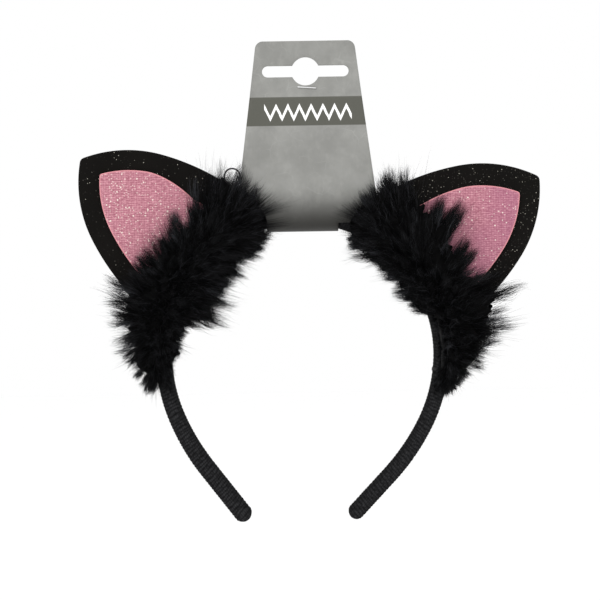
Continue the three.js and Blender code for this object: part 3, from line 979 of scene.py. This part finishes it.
def add_staple():
    half = (STAPLE_WIDTH - STAPLE_WIRE) / 2
    face = CARD_PANEL_GAP / 2 + CARD_THICKNESS + STAPLE_LIFT + STAPLE_WIRE / 2
    corners = np.array(
        (
            (-half + STAPLE_CLINCH, face, 0),
            (-half, face, 0),
            (-half, -face, 0),
            (half, -face, 0),
            (half, face, 0),
            (half - STAPLE_CLINCH, face - STAPLE_PINCH, 0),
        )
    )
    line = [corners[0]]
    for before, corner, after in zip(corners[:-2], corners[1:-1], corners[2:]):
        start = corner + unit(before - corner) * STAPLE_BEND
        end = corner + unit(after - corner) * STAPLE_BEND
        for t in np.linspace(0, 1, 7):
            line.append((1 - t) ** 2 * start + 2 * t * (1 - t) * corner + t**2 * end)
    line = np.array([*line, corners[-1]])
    upward = np.tile((0.0, 0.0, 1.0), (len(line), 1))
    ring, _ = rounded_ring(STAPLE_WIRE, STAPLE_WIRE, STAPLE_CORNER, 20)
    points, faces = sweep(line, np.cross(upward, unit(np.gradient(line, axis=0))), upward, ring)
    cosine, sine = math.cos(STAPLE_LEAN), math.sin(STAPLE_LEAN)
    lean = np.array(((cosine, 0, sine), (0, 1, 0), (-sine, 0, cosine)))
    points = points @ lean.T + (STAPLE_PLACE[0], 0, STAPLE_PLACE[1])
    make_piece("staple_wire", points * MM, faces, [STEEL], "card", ["card_staple"], "staple_wire")


add_staple()


# ---- the knit sleeve ----

RIB_PITCH = 1.5
RIB_HEIGHT = 0.24
RIB_TURNS = -3  # how many ribs the spiral of the knit climbs in a turn
SLEEVE_COLUMNS = 60
SLEEVE_SWELL = {LEFT: 0.55, RIGHT: 0.15}  # how much fuller each leg gets towards its tip
SWELL_FROM = 90
SWELL_OVER = 60
# How far the ribs stray along the leg, as shares of a rib, and how much their height varies.
RIB_WANDER = 0.40
RIB_DRIFT = 0.20
RIB_SHIVER = 0.16
RIB_UNEVEN = 0.4
FLEX_FROM = 3.0
FLEX_TO = 19.0


def sleeve_skin(distance, inset, ring, normals):
    """Rows of points round the band, drawn in by an inset at each row."""
    skin = ring - normals * np.asarray(inset)[..., None]
    return at_band(distance[:, None], skin[..., 1], skin[..., 0])


def add_sleeve(side):
    name = SIDE_NAMES[side]
    ring, normals = rounded_ring(SLEEVE_DEPTH, SLEEVE_THICKNESS, SLEEVE_CORNER, SLEEVE_COLUMNS)
    nose = SLEEVE_THICKNESS / 2
    half_length = CURVED_LENGTH + STRAIGHT[side]
    straight_rows = np.arange(0, half_length - nose, RIB_PITCH / 7)
    nose_angles = np.linspace(0, math.pi / 2, 18)[1:]
    distance = np.concatenate((straight_rows, half_length - nose + nose * np.sin(nose_angles)))
    closing = np.concatenate((np.zeros(len(straight_rows)), nose * (1 - np.cos(nose_angles))))
    around = np.linspace(0, 1, SLEEVE_COLUMNS, endpoint=False)
    perimeter = SLEEVE_COLUMNS * float(np.linalg.norm(ring[1] - ring[0]))
    run = distance[:, None]
    wander = RIB_WANDER * ripple(run, 0, 14, 3 + side) + RIB_DRIFT * ripple(run, 0, 5, 9 + side)
    shiver = RIB_SHIVER * ripple(run, 28 * around, 4, 15 + side)
    crest = np.abs(np.sin(math.pi * (run / RIB_PITCH + around * RIB_TURNS + wander + shiver))) ** 0.7
    strength = 1 + RIB_UNEVEN * ripple(run, 26 * around, 5, 21 + side)
    fuller = SLEEVE_SWELL[side] * np.clip((run - SWELL_FROM) / SWELL_OVER, 0, 1)
    raised = RIB_HEIGHT * (crest - 0.75) * strength + fuller
    fade = np.clip((half_length - run) / 3.0, 0.25, 1)
    outer = sleeve_skin(distance, closing[:, None] - raised * fade, ring, normals)
    inner_rows = distance < half_length - nose - 1.0
    inner = sleeve_skin(distance[inner_rows][::4], SLEEVE_WALL, ring, normals)
    ends = np.stack((outer[-1].mean(axis=0), inner[-1].mean(axis=0)))
    points = np.concatenate((outer.reshape(-1, 3), inner.reshape(-1, 3), ends))
    rows, inner_count, total = len(distance), len(inner), len(points)
    first_inner = rows * SLEEVE_COLUMNS
    outer_ring = np.arange(SLEEVE_COLUMNS)
    inner_ring = first_inner + outer_ring
    mouth = (outer_ring, inner_ring, np.roll(inner_ring, -1), np.roll(outer_ring, -1))
    faces = [
        grid_faces(rows, SLEEVE_COLUMNS)[:, ::-1],
        grid_faces(inner_count, SLEEVE_COLUMNS, first_inner),
        np.stack(mouth, axis=-1),
        cap_faces(first_inner - SLEEVE_COLUMNS + outer_ring, total - 2, reverse=True),
        cap_faces(total - 2 - SLEEVE_COLUMNS + outer_ring, total - 1),
    ]
    piece = make_piece(
        f"{name}_knit_sleeve",
        to_row(points, side),
        turned(faces, side),
        [KNIT],
        None,
        [f"{name}_sleeve", f"{name}_sleeve_tip", "sleeve_crown"],
        "knit",
    )
    cloth = np.zeros((total, 3))
    cloth[:first_inner, 0] = np.repeat(distance, SLEEVE_COLUMNS)
    cloth[:first_inner, 1] = np.tile(around * perimeter, rows)
    kept_crest = np.zeros(total)
    kept_crest[:first_inner] = crest.ravel()
    store(piece, "cloth", cloth)
    store(piece, "crest", kept_crest)
    # Painted light: the flats that face front and back get a higher value than the sides, as soft
    # light from the front would give.
    store(piece, "painted_flat_light", np.resize(0.25 + 0.75 * np.abs(normals[:, 0]) ** 1.5, total))
    start, end = to_row(at_band(np.array((FLEX_FROM, FLEX_TO)), 0, 0), side)
    tuple(start)
    tuple(end)
    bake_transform(piece)


for side in (RIGHT, LEFT):
    add_sleeve(side)


# ---- the ears ----


def ear_outline(side, inset, tip_radius, shift=(0, 0), tuck=0, spacing=0.8):
    """The ear's outline in (across, up) from the band's apex, anticlockwise, with its lower edge
    on a circle round the band."""
    x = -EAR_ARCS[0][0] * math.cos(math.radians(EAR_TIP_TANGENT))
    y = EAR_HEIGHT - EAR_ARCS[0][0] * math.sin(math.radians(EAR_TIP_TANGENT))
    reach = EAR_ARCS[0][0] - inset - tip_radius
    tip_height = y + math.sqrt(reach * reach - x * x)
    start = math.acos(-x / reach)
    tip = arc((0, tip_height), tip_radius, math.pi / 2, start, spacing / 2)
    edge = [tip]
    for index, (radius, until) in enumerate(EAR_ARCS):
        end = math.radians(until)
        edge.append(arc((x, y), radius - inset, start, end, spacing))
        if index + 1 < len(EAR_ARCS):
            x += (radius - EAR_ARCS[index + 1][0]) * math.cos(end)
            y += (radius - EAR_ARCS[index + 1][0]) * math.sin(end)
        start = end
    edge = np.concatenate(edge)
    lean = math.radians(EAR_LEAN[side])
    base_x = CROWN_RADIUS * math.sin(math.radians(EAR_PLACE))
    base_z = CROWN_RADIUS * (math.cos(math.radians(EAR_PLACE)) - 1)
    sides = []
    for mirror in (1, -1):
        u, v = edge[:, 0] * mirror + shift[0], edge[:, 1] + shift[1]
        if mirror < 0:
            u += tuck * np.clip((TUCK_FROM - v) / TUCK_FALL, 0, TUCK_MOST) ** 1.5
        x = base_x + u * math.cos(lean) + v * math.sin(lean)
        z = base_z - u * math.sin(lean) + v * math.cos(lean)
        line = np.stack((x, z), axis=-1)
        clear = np.hypot(line[:, 0], line[:, 1] + CROWN_RADIUS) > EAR_CLEARANCE_RADIUS
        sides.append(line[: int(np.argmin(clear))] if not clear.all() else line)
    lower, upper = sides
    start = math.atan2(lower[-1, 1] + CROWN_RADIUS, lower[-1, 0])
    end = math.atan2(upper[-1, 1] + CROWN_RADIUS, upper[-1, 0])
    base = arc((0, -CROWN_RADIUS), EAR_CLEARANCE_RADIUS, start, end, spacing)
    return joined(upper, base[::-1], lower[::-1])


def rounded_rim(radius, thickness, steps=4):
    """Rings (outwards, share of the thickness) round a soft edge."""
    angles = np.linspace(0, math.pi / 2, steps + 1)[1:]
    front = [(radius * math.sin(a), radius * (1 - math.cos(a)) / thickness) for a in angles]
    back = [(out, 1 - share) for out, share in front[::-1]]
    return front + back


def add_ear_layer(side, part, slot, look, outline, edge, puff, seed):
    """One cloth layer of the ear, soft at its edges and a little uneven, between its CAD faces."""
    low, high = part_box(f"{SIDE_NAMES[side]}_{part}")
    front, back = -low.y / MM, -high.y / MM
    thickness = front - back

    def front_depth(flat):
        return front + puff * (ripple(flat[:, 0], flat[:, 1], 16, seed) - 0.6)

    def back_depth(flat):
        return np.full(len(flat), back)

    def place(flat, depth):
        return np.stack((flat[:, 0], depth, flat[:, 1]), axis=-1)

    points, faces, rim = cut_sheet(
        [outline], EAR_SPACING, rounded_rim(edge, thickness), front_depth, back_depth, place
    )
    piece = half_piece(side, f"{part}_cloth", part, slot, points, faces, [look], inside_out=True)
    store(piece, "rim", rim)


def band_strip(side, part, slot, look, ring, angles, out, front, rows, swell=None):
    """A strip or bead that follows the band between two angles, replacing a CAD node."""
    distance = np.linspace(along(angles[0]), along(angles[1]), rows)
    turn = band_line(distance)[2]
    outward = np.stack((np.sin(turn), 0 * turn, np.cos(turn)), axis=-1)
    forward = np.tile((0.0, 1.0, 0.0), (rows, 1))
    points, faces = sweep(at_band(distance, out, front), forward, outward, ring, swell)
    half_piece(side, f"{part}_shape", part, slot, points, faces, [look], inside_out=True)


EAR_SPACING = 1.1
FRONT_EDGE = 0.75
INLAY_EDGE = 0.6
BACK_EDGE = 0.55
TAB_DEPTH = 8.0
TAB_THICKNESS = 1.2
TAB_ANGLES = (26, 71)
BEAD_OUT = 6.0
BEAD_FRONT = -3.3
BEAD_RADIUS = 0.8
BEAD_ANGLES = (30, 67)


def cover(node, material):
    """Gives a CAD node that keeps its own shape a material."""
    materials = frame["nodes"][node].data.materials
    materials.clear()
    materials.append(material)


def add_ear(side):
    panel = ear_outline(side, FRONT_EDGE, EAR_TIP_RADIUS - FRONT_EDGE)
    inlay_tip = INLAY_TIP_RADIUS - INLAY_EDGE
    inlay = ear_outline(side, INLAY_INSET + INLAY_EDGE, inlay_tip, INLAY_SHIFT[side], INLAY_TUCK[side])
    back = ear_outline(side, BACK_EDGE, EAR_TIP_RADIUS - BACK_EDGE)
    for part, slot, look, outline, edge, puff, seed in (
        ("ear_front_panel", "glitter_cloth", GLITTER[side], panel, FRONT_EDGE, 0.10, 31),
        ("ear_pink_inlay", "pink_lame", PINK[side], inlay, INLAY_EDGE, 0.12, 41),
        ("ear_back_panel", "back_felt", FELT, back, BACK_EDGE, 0.08, 51),
    ):
        add_ear_layer(side, part, slot, look, outline, edge, puff, seed + side)
    cover(f"{SIDE_NAMES[side]}_ear_stiffener", INTERLINING)
    tab, _ = rounded_ring(TAB_DEPTH, TAB_THICKNESS, 0.5, 40)
    band_strip(side, "ear_base_tab", "back_felt", FELT, tab, TAB_ANGLES, BASE_TAB_OUT, 0, 60)
    rng = np.random.default_rng(60 + side)
    rows = 90
    swell = 0.85 + 0.15 * np.sin(np.linspace(0, 26, rows)) * rng.uniform(0.5, 1, rows)
    swell *= np.clip(np.minimum(np.arange(rows), np.arange(rows)[::-1]) / 4, 0.3, 1) ** 0.5
    bead, part = circle(BEAD_RADIUS, 16), "ear_glue_bead"
    band_strip(side, part, "hot_glue", GLUE, bead, BEAD_ANGLES, BEAD_OUT, BEAD_FRONT, rows, swell)


for side in (RIGHT, LEFT):
    add_ear(side)

for node in ("core_crown", "left_core_leg", "right_core_leg"):
    cover(node, PLASTIC)


# ---- the marabou ----

DOWN_FRONT_CENTRE = 5.0
CORE_SHARE = 0.68
TUFTS_A_SIDE = 640
BARBS_A_TUFT = 76
SPRAYS_A_SIDE = 230
WISPS_A_SPRAY = 14
DOWN_PIECES = 7
BARB_POINTS = 5
BARB_RADII = np.array((0.055, 0.052, 0.042, 0.026))
WISP_RADII = np.array((0.050, 0.046, 0.036, 0.022))
# Shares of barbs at which the tone steps up; barbs past the last step take the palest tone, a painted
# highlight.
TONE_STEPS = (0.36, 0.66, 0.85)

# Where round the band the down's heart, tufts and wisps are, in degrees, and the shares of its
# reach at which tufts and wisps end. A foot and a wisp's start are shares of the way to the tip.
HEART_ROLL = (-60, 240)
TUFT_ROLL = (-38, 208)
WISP_ROLL = (-30, 205)
TUFT_REACH = (0.82, 1.26)
TUFT_FOOT = (0.30, 0.48)
WISP_REACH = (1.1, 1.5)
WISP_FROM = 0.45

# How far from a tuft's line its barbs end: the strays, then the others at the tuft's tip and how
# much further at its foot.
STRAY_SHARE = 0.38
STRAY_SPREAD = 4.4
TIP_SPREAD = 0.7
SIDE_SPREAD = 5.0

# How far forwards the down is lifted over the card, the ear and the band, and where those are.
CARD_LID = FOLD_RADIUS + 1.2
CARD_CLEARANCE = 4.0  # room for the band to swing and the legs to flex
EAR_LID = 5.6
EAR_RADII = (65.2, 104)
EAR_ANGLES = (22, 76)
BAND_LID = 4.9
BAND_HALF = 3.6
BAND_ANGLE = 100

# How far the dense down reaches from the band's centreline: (angle along the band, reach).
OUTWARD = {
    LEFT: (
        (7, 5), (11, 8), (16, 18), (21, 31), (26, 32), (31, 29), (36, 21), (41, 18), (46, 22),
        (51, 20), (56, 20), (61, 21), (66, 25), (71, 29), (76, 26), (81, 24), (86, 19), (91, 17),
        (96, 17), (102, 13), (109, 8),
    ),
    RIGHT: (
        (8, 4), (12, 6), (16, 12), (21, 30), (26, 33), (31, 32), (36, 30), (41, 29), (46, 35),
        (51, 27), (61, 26), (66, 31), (71, 38), (76, 32), (81, 28), (86, 22), (91, 18), (96, 14),
        (101, 9), (106, 4),
    ),
}
INWARD = {
    LEFT: (
        (7, 3), (16, 9), (21, 12), (26, 15), (36, 15), (41, 18), (46, 15), (51, 22), (66, 20),
        (71, 26), (76, 10), (81, 10), (86, 7), (91, 10), (96, 4), (109, 2),
    ),
    RIGHT: (
        (8, 2), (16, 4), (21, 14), (26, 7), (31, 12), (36, 9), (41, 13), (46, 7), (51, 11),
        (56, 12), (61, 9), (66, 9), (71, 2), (75, 0.8), (106, 0.8),
    ),
}
FRONTWARD = ((8, 5), (18, 12), (32, 15.5), (84, 15.5), (96, 11), (107, 4))
BACKWARD = ((8, 4), (20, 8), (84, 10), (107, 4))
# Nearer the card's middle than this there are only wisps.
DENSE_FROM = {LEFT: 15, RIGHT: 15.7}
SPRAYS_OVER_CARD = 14


def reach_of(degrees, roll, side):
    """How far the down reaches from the band's line in the direction roll: 0 outwards, a quarter
    turn to the front, half a turn towards the head."""
    outward = np.interp(degrees, *np.transpose(OUTWARD[side]))
    inward = np.interp(degrees, *np.transpose(INWARD[side]))
    frontward = np.interp(degrees, *np.transpose(FRONTWARD))
    backward = np.interp(degrees, *np.transpose(BACKWARD))
    sideways = np.where(np.cos(roll) > 0, outward, inward)
    lengthways = np.where(np.sin(roll) > 0, frontward, backward)
    return 1 / np.sqrt((np.cos(roll) / sideways) ** 2 + (np.sin(roll) / lengthways) ** 2)


def down_point(degrees, roll, share, side):
    """The point that lies a share of the down's reach away from the band's line."""
    reach = reach_of(degrees, roll, side) * share
    distance = along(degrees)
    return at_band(distance, reach * np.cos(roll), DOWN_FRONT_CENTRE + reach * np.sin(roll))


def clear_of_solids(points):
    """Lifts down forwards where it would be in the ear, the band or the card."""
    across, front, up = points[..., 0], points[..., 1], points[..., 2]
    radius = np.hypot(across, up + CROWN_RADIUS)
    angle = np.degrees(np.arctan2(across, up + CROWN_RADIUS))
    over_ear = (radius > EAR_RADII[0]) & (radius < EAR_RADII[1])
    over_ear &= (angle > EAR_ANGLES[0]) & (angle < EAR_ANGLES[1])
    over_band = (np.abs(radius - CROWN_RADIUS) < BAND_HALF) & (angle < BAND_ANGLE)
    beside_card = np.abs(across) < card_half_width(up + APEX_HEIGHT) + CARD_CLEARANCE
    over_card = (up > -FOLD_BOTTOM - CARD_CLEARANCE) & beside_card
    lid = np.where(over_ear, EAR_LID, -math.inf)
    lid = np.where(over_band, np.maximum(lid, BAND_LID), lid)
    lid = np.where(over_card, np.maximum(lid, CARD_LID), lid)
    lifted = points.copy()
    lifted[..., 1] = np.maximum(front, lid)
    return lifted


def square_to(directions, rng):
    """A random unit vector square to each direction."""
    return unit(np.cross(directions, rng.normal(size=directions.shape)))


def rooted(degrees, side, spread, rng):
    """Where on the marabou's cord the down at an angle grows: the ends fan out past the cord."""
    low, high = OUTWARD[side][0][0], OUTWARD[side][-1][0]
    share = (degrees - low) / (high - low)
    angle = CORD_FROM + (CORD_TO - CORD_FROM) * share + rng.normal(0, spread, len(degrees))
    angle = np.clip(angle, CORD_FROM + 0.5, CORD_TO - 1)
    return at_band(along(angle), CORD_OUT, CORD_FRONT)


def tuft_lines(degrees, roll, side, rng):
    """The barbs of tufts that grow at the given angles, as (tuft, barb, point, xyz). Most barbs of
    a tuft close in on its tip, and some stray; tufts are slighter where the down is short."""
    count = len(degrees)
    shape = (count, BARBS_A_TUFT, 1)
    fullness = np.clip(reach_of(degrees, roll, side) / 15, 0.5, 1)[:, None]
    root = rooted(degrees, side, 2.5, rng)
    tip = down_point(degrees, roll, rng.uniform(*TUFT_REACH, count), side)
    tip += rng.normal(0, 1.5, tip.shape) * fullness
    foot = root + (tip - root) * rng.uniform(*TUFT_FOOT, (count, 1))
    foot += rng.normal(0, 1.2, tip.shape) * fullness
    axis = (tip - foot)[:, None] + np.zeros((count, BARBS_A_TUFT, 3))
    length = np.linalg.norm(axis, axis=-1, keepdims=True)
    spread = rng.uniform(0.6, 1.4, (count, 1, 1)) * fullness[:, None]
    start = foot[:, None] + axis * rng.uniform(0, 0.55, shape)
    start += square_to(axis, rng) * 1.5 * rng.uniform(0, 1, shape) * fullness[:, None]
    ending = 1 - np.abs(rng.normal(0, 0.24, shape))
    closing = TIP_SPREAD + SIDE_SPREAD * (1 - ending)
    stray = np.where(rng.uniform(size=shape) < STRAY_SHARE, STRAY_SPREAD, closing) * spread
    end = foot[:, None] + axis * ending + square_to(axis, rng) * stray * rng.uniform(0.1, 1, shape)
    way = end - start
    bend = square_to(tip - foot, rng)[:, None] * length * rng.uniform(-0.12, 0.12, (count, 1, 1))
    bulge = square_to(way, rng) * length * rng.normal(0.05, 0.05, shape) + bend
    q = np.linspace(0, 1, BARB_POINTS)[:, None]
    return start[:, :, None] + q * way[:, :, None] + np.sin(math.pi * q * 0.9) * bulge[:, :, None]


def barb_tones(roll, rng):
    """A tone for each barb. A tuft keeps mostly to one, and tufts that stand forwards seldom take the
    palest tone, the painted highlight, as their own, and so stay dark.
    """
    shape = (len(roll), BARBS_A_TUFT)
    palest = np.where(np.sin(roll) > 0.5, TONE_STEPS[-1] + 0.02, 1.0)[:, None]
    own = np.searchsorted(TONE_STEPS, rng.uniform(size=(len(roll), 1)) * palest)
    mixed = np.searchsorted(TONE_STEPS, rng.uniform(size=shape))
    return np.where(rng.uniform(size=shape) < 0.5, own, mixed)


def wisp_lines(degrees, side, rng):
    """Sprays of long single barbs that stand out of the down at the given angles."""
    shape = (len(degrees), WISPS_A_SPRAY)
    roll = np.radians(rng.uniform(*WISP_ROLL, (len(degrees), 1))) + rng.normal(0, 0.13, shape)
    share = rng.uniform(*WISP_REACH, (len(degrees), 1)) * rng.uniform(0.72, 1, shape)
    fanned = degrees[:, None] + rng.normal(0, 2.0, shape)
    fanned, roll, share = fanned.ravel(), roll.ravel(), share.ravel()
    tip = down_point(fanned, roll, share, side)
    tip += rng.normal(0, 0.6, tip.shape)
    root = rooted(np.repeat(degrees, WISPS_A_SPRAY), side, 1.5, rng)
    chord = tip - root
    aside = square_to(chord, rng) * np.linalg.norm(chord, axis=1, keepdims=True)
    aside = aside * rng.uniform(0.02, 0.14, (len(fanned), 1))
    q = np.linspace(WISP_FROM, 1, BARB_POINTS)[None, :, None]
    return root[:, None] + q * chord[:, None] + q**2 * aside[:, None]


def strands(lines, radii):
    """Closed three-sided strands along lines of points, each tapering to its tip."""
    count, steps = lines.shape[:2]
    direction = unit(np.gradient(lines, axis=1))
    normal = unit(np.cross(direction, np.array((0.31, 0.87, 0.38))))
    binormal = np.cross(direction, normal)
    angles = np.arange(3) * 2 * math.pi / 3
    ring = (
        np.cos(angles)[None, None, :, None] * normal[:, :-1, None]
        + np.sin(angles)[None, None, :, None] * binormal[:, :-1, None]
    ) * radii[:, :, None, None]
    rings = lines[:, :-1, None] + ring
    points = np.concatenate((rings.reshape(count, -1, 3), lines[:, -1:]), axis=1)
    rows = steps - 1
    quads = grid_faces(rows, 3)
    tip = rows * 3
    body = np.concatenate((quads[:, [0, 1, 2]], quads[:, [0, 2, 3]]))
    top = cap_faces(np.arange(tip - 3, tip), tip)
    faces = np.concatenate((body, top, [[2, 1, 0]]))
    shifted = faces[None] + (np.arange(count) * points.shape[1])[:, None, None]
    return points.reshape(-1, 3), shifted.reshape(-1, 3), len(faces)


def add_down_core(side):
    """The dense heart of the down, where single barbs can't be told apart."""
    low, high = DENSE_FROM[side] + 2, OUTWARD[side][-1][0] - 6
    degrees = np.linspace(low, high, 170)
    roll = np.radians(np.linspace(*HEART_ROLL, 72, endpoint=False) + 2.5)
    grid, turn = np.meshgrid(degrees, roll, indexing="ij")
    lumps = ripple(grid * 1.08, turn * 16, 6.0, 81 + side) * 0.10
    lumps += ripple(grid, turn * 16, 2.6, 83 + side) * 0.06
    ends = np.sqrt(np.clip(np.minimum(grid - low, high - grid) / 9, 0.02, 1))
    share = (CORE_SHARE + lumps) * ends
    points = down_point(grid, turn, share, side).reshape(-1, 3)
    centres = down_point(degrees[[0, -1]], np.full(2, math.pi / 2), 0.02, side)
    points = clear_of_solids(np.concatenate((points, centres)))
    faces = tube_faces(*grid.shape)
    half_piece(side, "marabou_heart", "marabou_fluff", "marabou", points, faces, DOWN[:1])


def add_marabou(side):
    rng = np.random.default_rng(700 + side)
    low, high = OUTWARD[side][0][0], OUTWARD[side][-1][0]
    tufts = np.sort(rng.uniform(DENSE_FROM[side], high - 1, TUFTS_A_SIDE))
    over_card = rng.uniform(low, DENSE_FROM[side], SPRAYS_OVER_CARD)
    elsewhere = rng.uniform(DENSE_FROM[side], high, SPRAYS_A_SIDE - SPRAYS_OVER_CARD)
    sprays = np.sort(np.concatenate((over_card, elsewhere)))
    groups = zip(np.array_split(tufts, DOWN_PIECES), np.array_split(sprays, DOWN_PIECES))
    for part, (degrees, spray_degrees) in enumerate(groups):
        roll = np.radians(rng.uniform(*TUFT_ROLL, len(degrees)))
        barbs = tuft_lines(degrees, roll, side, rng).reshape(-1, BARB_POINTS, 3)
        wisps = wisp_lines(spray_degrees, side, rng)
        lines = np.concatenate((barbs, wisps))
        barb_radii = BARB_RADII * rng.uniform(0.75, 1.25, (len(barbs), 1))
        radii = np.concatenate((barb_radii, np.tile(WISP_RADII, (len(wisps), 1))))
        tones = np.concatenate((barb_tones(roll, rng).ravel(), rng.choice(3, size=len(wisps))))
        points, faces, per = strands(clear_of_solids(lines), radii)
        name = f"marabou_down_{part + 1}"
        piece = half_piece(side, name, "marabou_fluff", "marabou", points, [faces], DOWN)
        piece.data.polygons.foreach_set("material_index", np.repeat(tones, per).astype(np.int32))


def add_cord(side):
    """The marabou's two-ply core cord."""
    distance = np.linspace(along(CORD_FROM), along(CORD_TO), 260)
    turns = distance / CORD_LAY * 2 * math.pi
    parts, faces, total = [], [], 0
    for ply in (0, math.pi):
        out = CORD_OUT + PLY_OFFSET * np.cos(turns + ply)
        front = CORD_FRONT + PLY_OFFSET * np.sin(turns + ply)
        line = at_band(distance, out, front)
        normals, binormals = parallel_frames(line)
        points, found = sweep(line, normals, binormals, circle(PLY_RADIUS, 10))
        parts.append(points)
        faces += [f + total for f in found]
        total += len(points)
    points = np.concatenate(parts)
    part, node = "marabou_core", "marabou_cord"
    half_piece(side, part, node, "thread", points, faces, [THREAD], inside_out=True)


TIE_PLACE = 93.5
TIE_WIDTH = 1.6
TIE_TURNS = 4
TIE_STEPS = 60
TIE_RADIUS = 0.16
TIE_SLACK = 0.1


def taut_ring(gap):
    """A closed line (front, out) pulled tight round the sleeve and the marabou's cord."""
    sleeve, normals = rounded_ring(SLEEVE_DEPTH, SLEEVE_THICKNESS, SLEEVE_CORNER, 72)
    cord = (CORD_FRONT, CORD_OUT) + circle(CORD_RADIUS + gap, 36)
    corners = np.concatenate((sleeve + normals * gap, cord))
    hull = corners[geometry.convex_hull_2d([tuple(corner) for corner in corners])]
    hull = np.concatenate((hull, hull[:1]))
    distance = walked(hull)
    places = np.linspace(0, distance[-1], TIE_STEPS, endpoint=False)
    return np.stack([np.interp(places, distance, hull[:, axis]) for axis in (0, 1)], axis=-1)


def add_tie(side):
    """Thread wound round the sleeve and the marabou's cord."""
    ring = np.tile(taut_ring(TIE_RADIUS + TIE_SLACK), (TIE_TURNS, 1))
    distance = along(TIE_PLACE) + TIE_WIDTH * np.linspace(0.1, 0.9, len(ring))
    line = at_band(distance, ring[:, 1], ring[:, 0])
    normals, binormals = parallel_frames(line)
    points, faces = sweep(line, normals, binormals, circle(TIE_RADIUS, 8))
    part, node = "thread_binding", "marabou_tie"
    half_piece(side, part, node, "thread", points, faces, [THREAD], inside_out=True)


DAB_ANGLES = {"marabou_top_glue": (28.5, 32.4), "marabou_bottom_glue": (88.6, 91.2)}
DAB_DEPTH = 1.0
DAB_THICKNESS = 4.0
DAB_FRONT = 5.4


def add_dabs(side):
    rows = 24
    swell = np.sin(np.linspace(0.12, math.pi - 0.12, rows)) ** 0.5
    ring, _ = rounded_ring(DAB_DEPTH, DAB_THICKNESS, 0.45, 28)
    for part, angles in DAB_ANGLES.items():
        band_strip(side, part, "hot_glue", GLUE, ring, angles, CORD_OUT - 1, DAB_FRONT, rows, swell)


for side in (RIGHT, LEFT):
    add_down_core(side)
    add_marabou(side)
    add_cord(side)
    add_tie(side)
    add_dabs(side)


# ---- floor and light ----

FLOOR_DROP = 0.42
FLOOR_SIZE = 12.0


def add_floor():
    look = Look("pale_floor", Base_Color=(1, 1, 1, 1), Roughness=0.9, Specular_IOR_Level=0.1)
    half = FLOOR_SIZE / 2
    ground = ((-half, -half), (half, -half), (half, half), (-half, half))
    corners = [(x, y, -FLOOR_DROP) for x, y in ground]
    floor = make_piece("floor", corners, [[[0, 1, 2, 3]]], [look.material], None)


def add_light(name, place, size, power, target=(0, 0, -0.1)):
    data = bpy.data.lights.new(name, "AREA")
    data.shape = "DISK"
    data.size = size
    data.energy = power
    light = in_scene(name, data)
    light.location = place
    light.rotation_euler = (Vector(target) - Vector(place)).to_track_quat("-Z", "Y").to_euler()


def add_world():
    world = bpy.data.worlds.new("studio")
    world.use_nodes = True
    background = world.node_tree.nodes["Background"]
    background.inputs["Color"].default_value = (1, 1, 1, 1)
    background.inputs["Strength"].default_value = 1.0
    bpy.context.scene.world = world


add_floor()
add_world()
add_light("key", (-0.9, -1.3, 0.9), 0.9, 9.0)
add_light("fill", (1.1, -1.2, 0.3), 1.2, 4.0)
bpy.context.scene.view_settings.view_transform = "Standard"
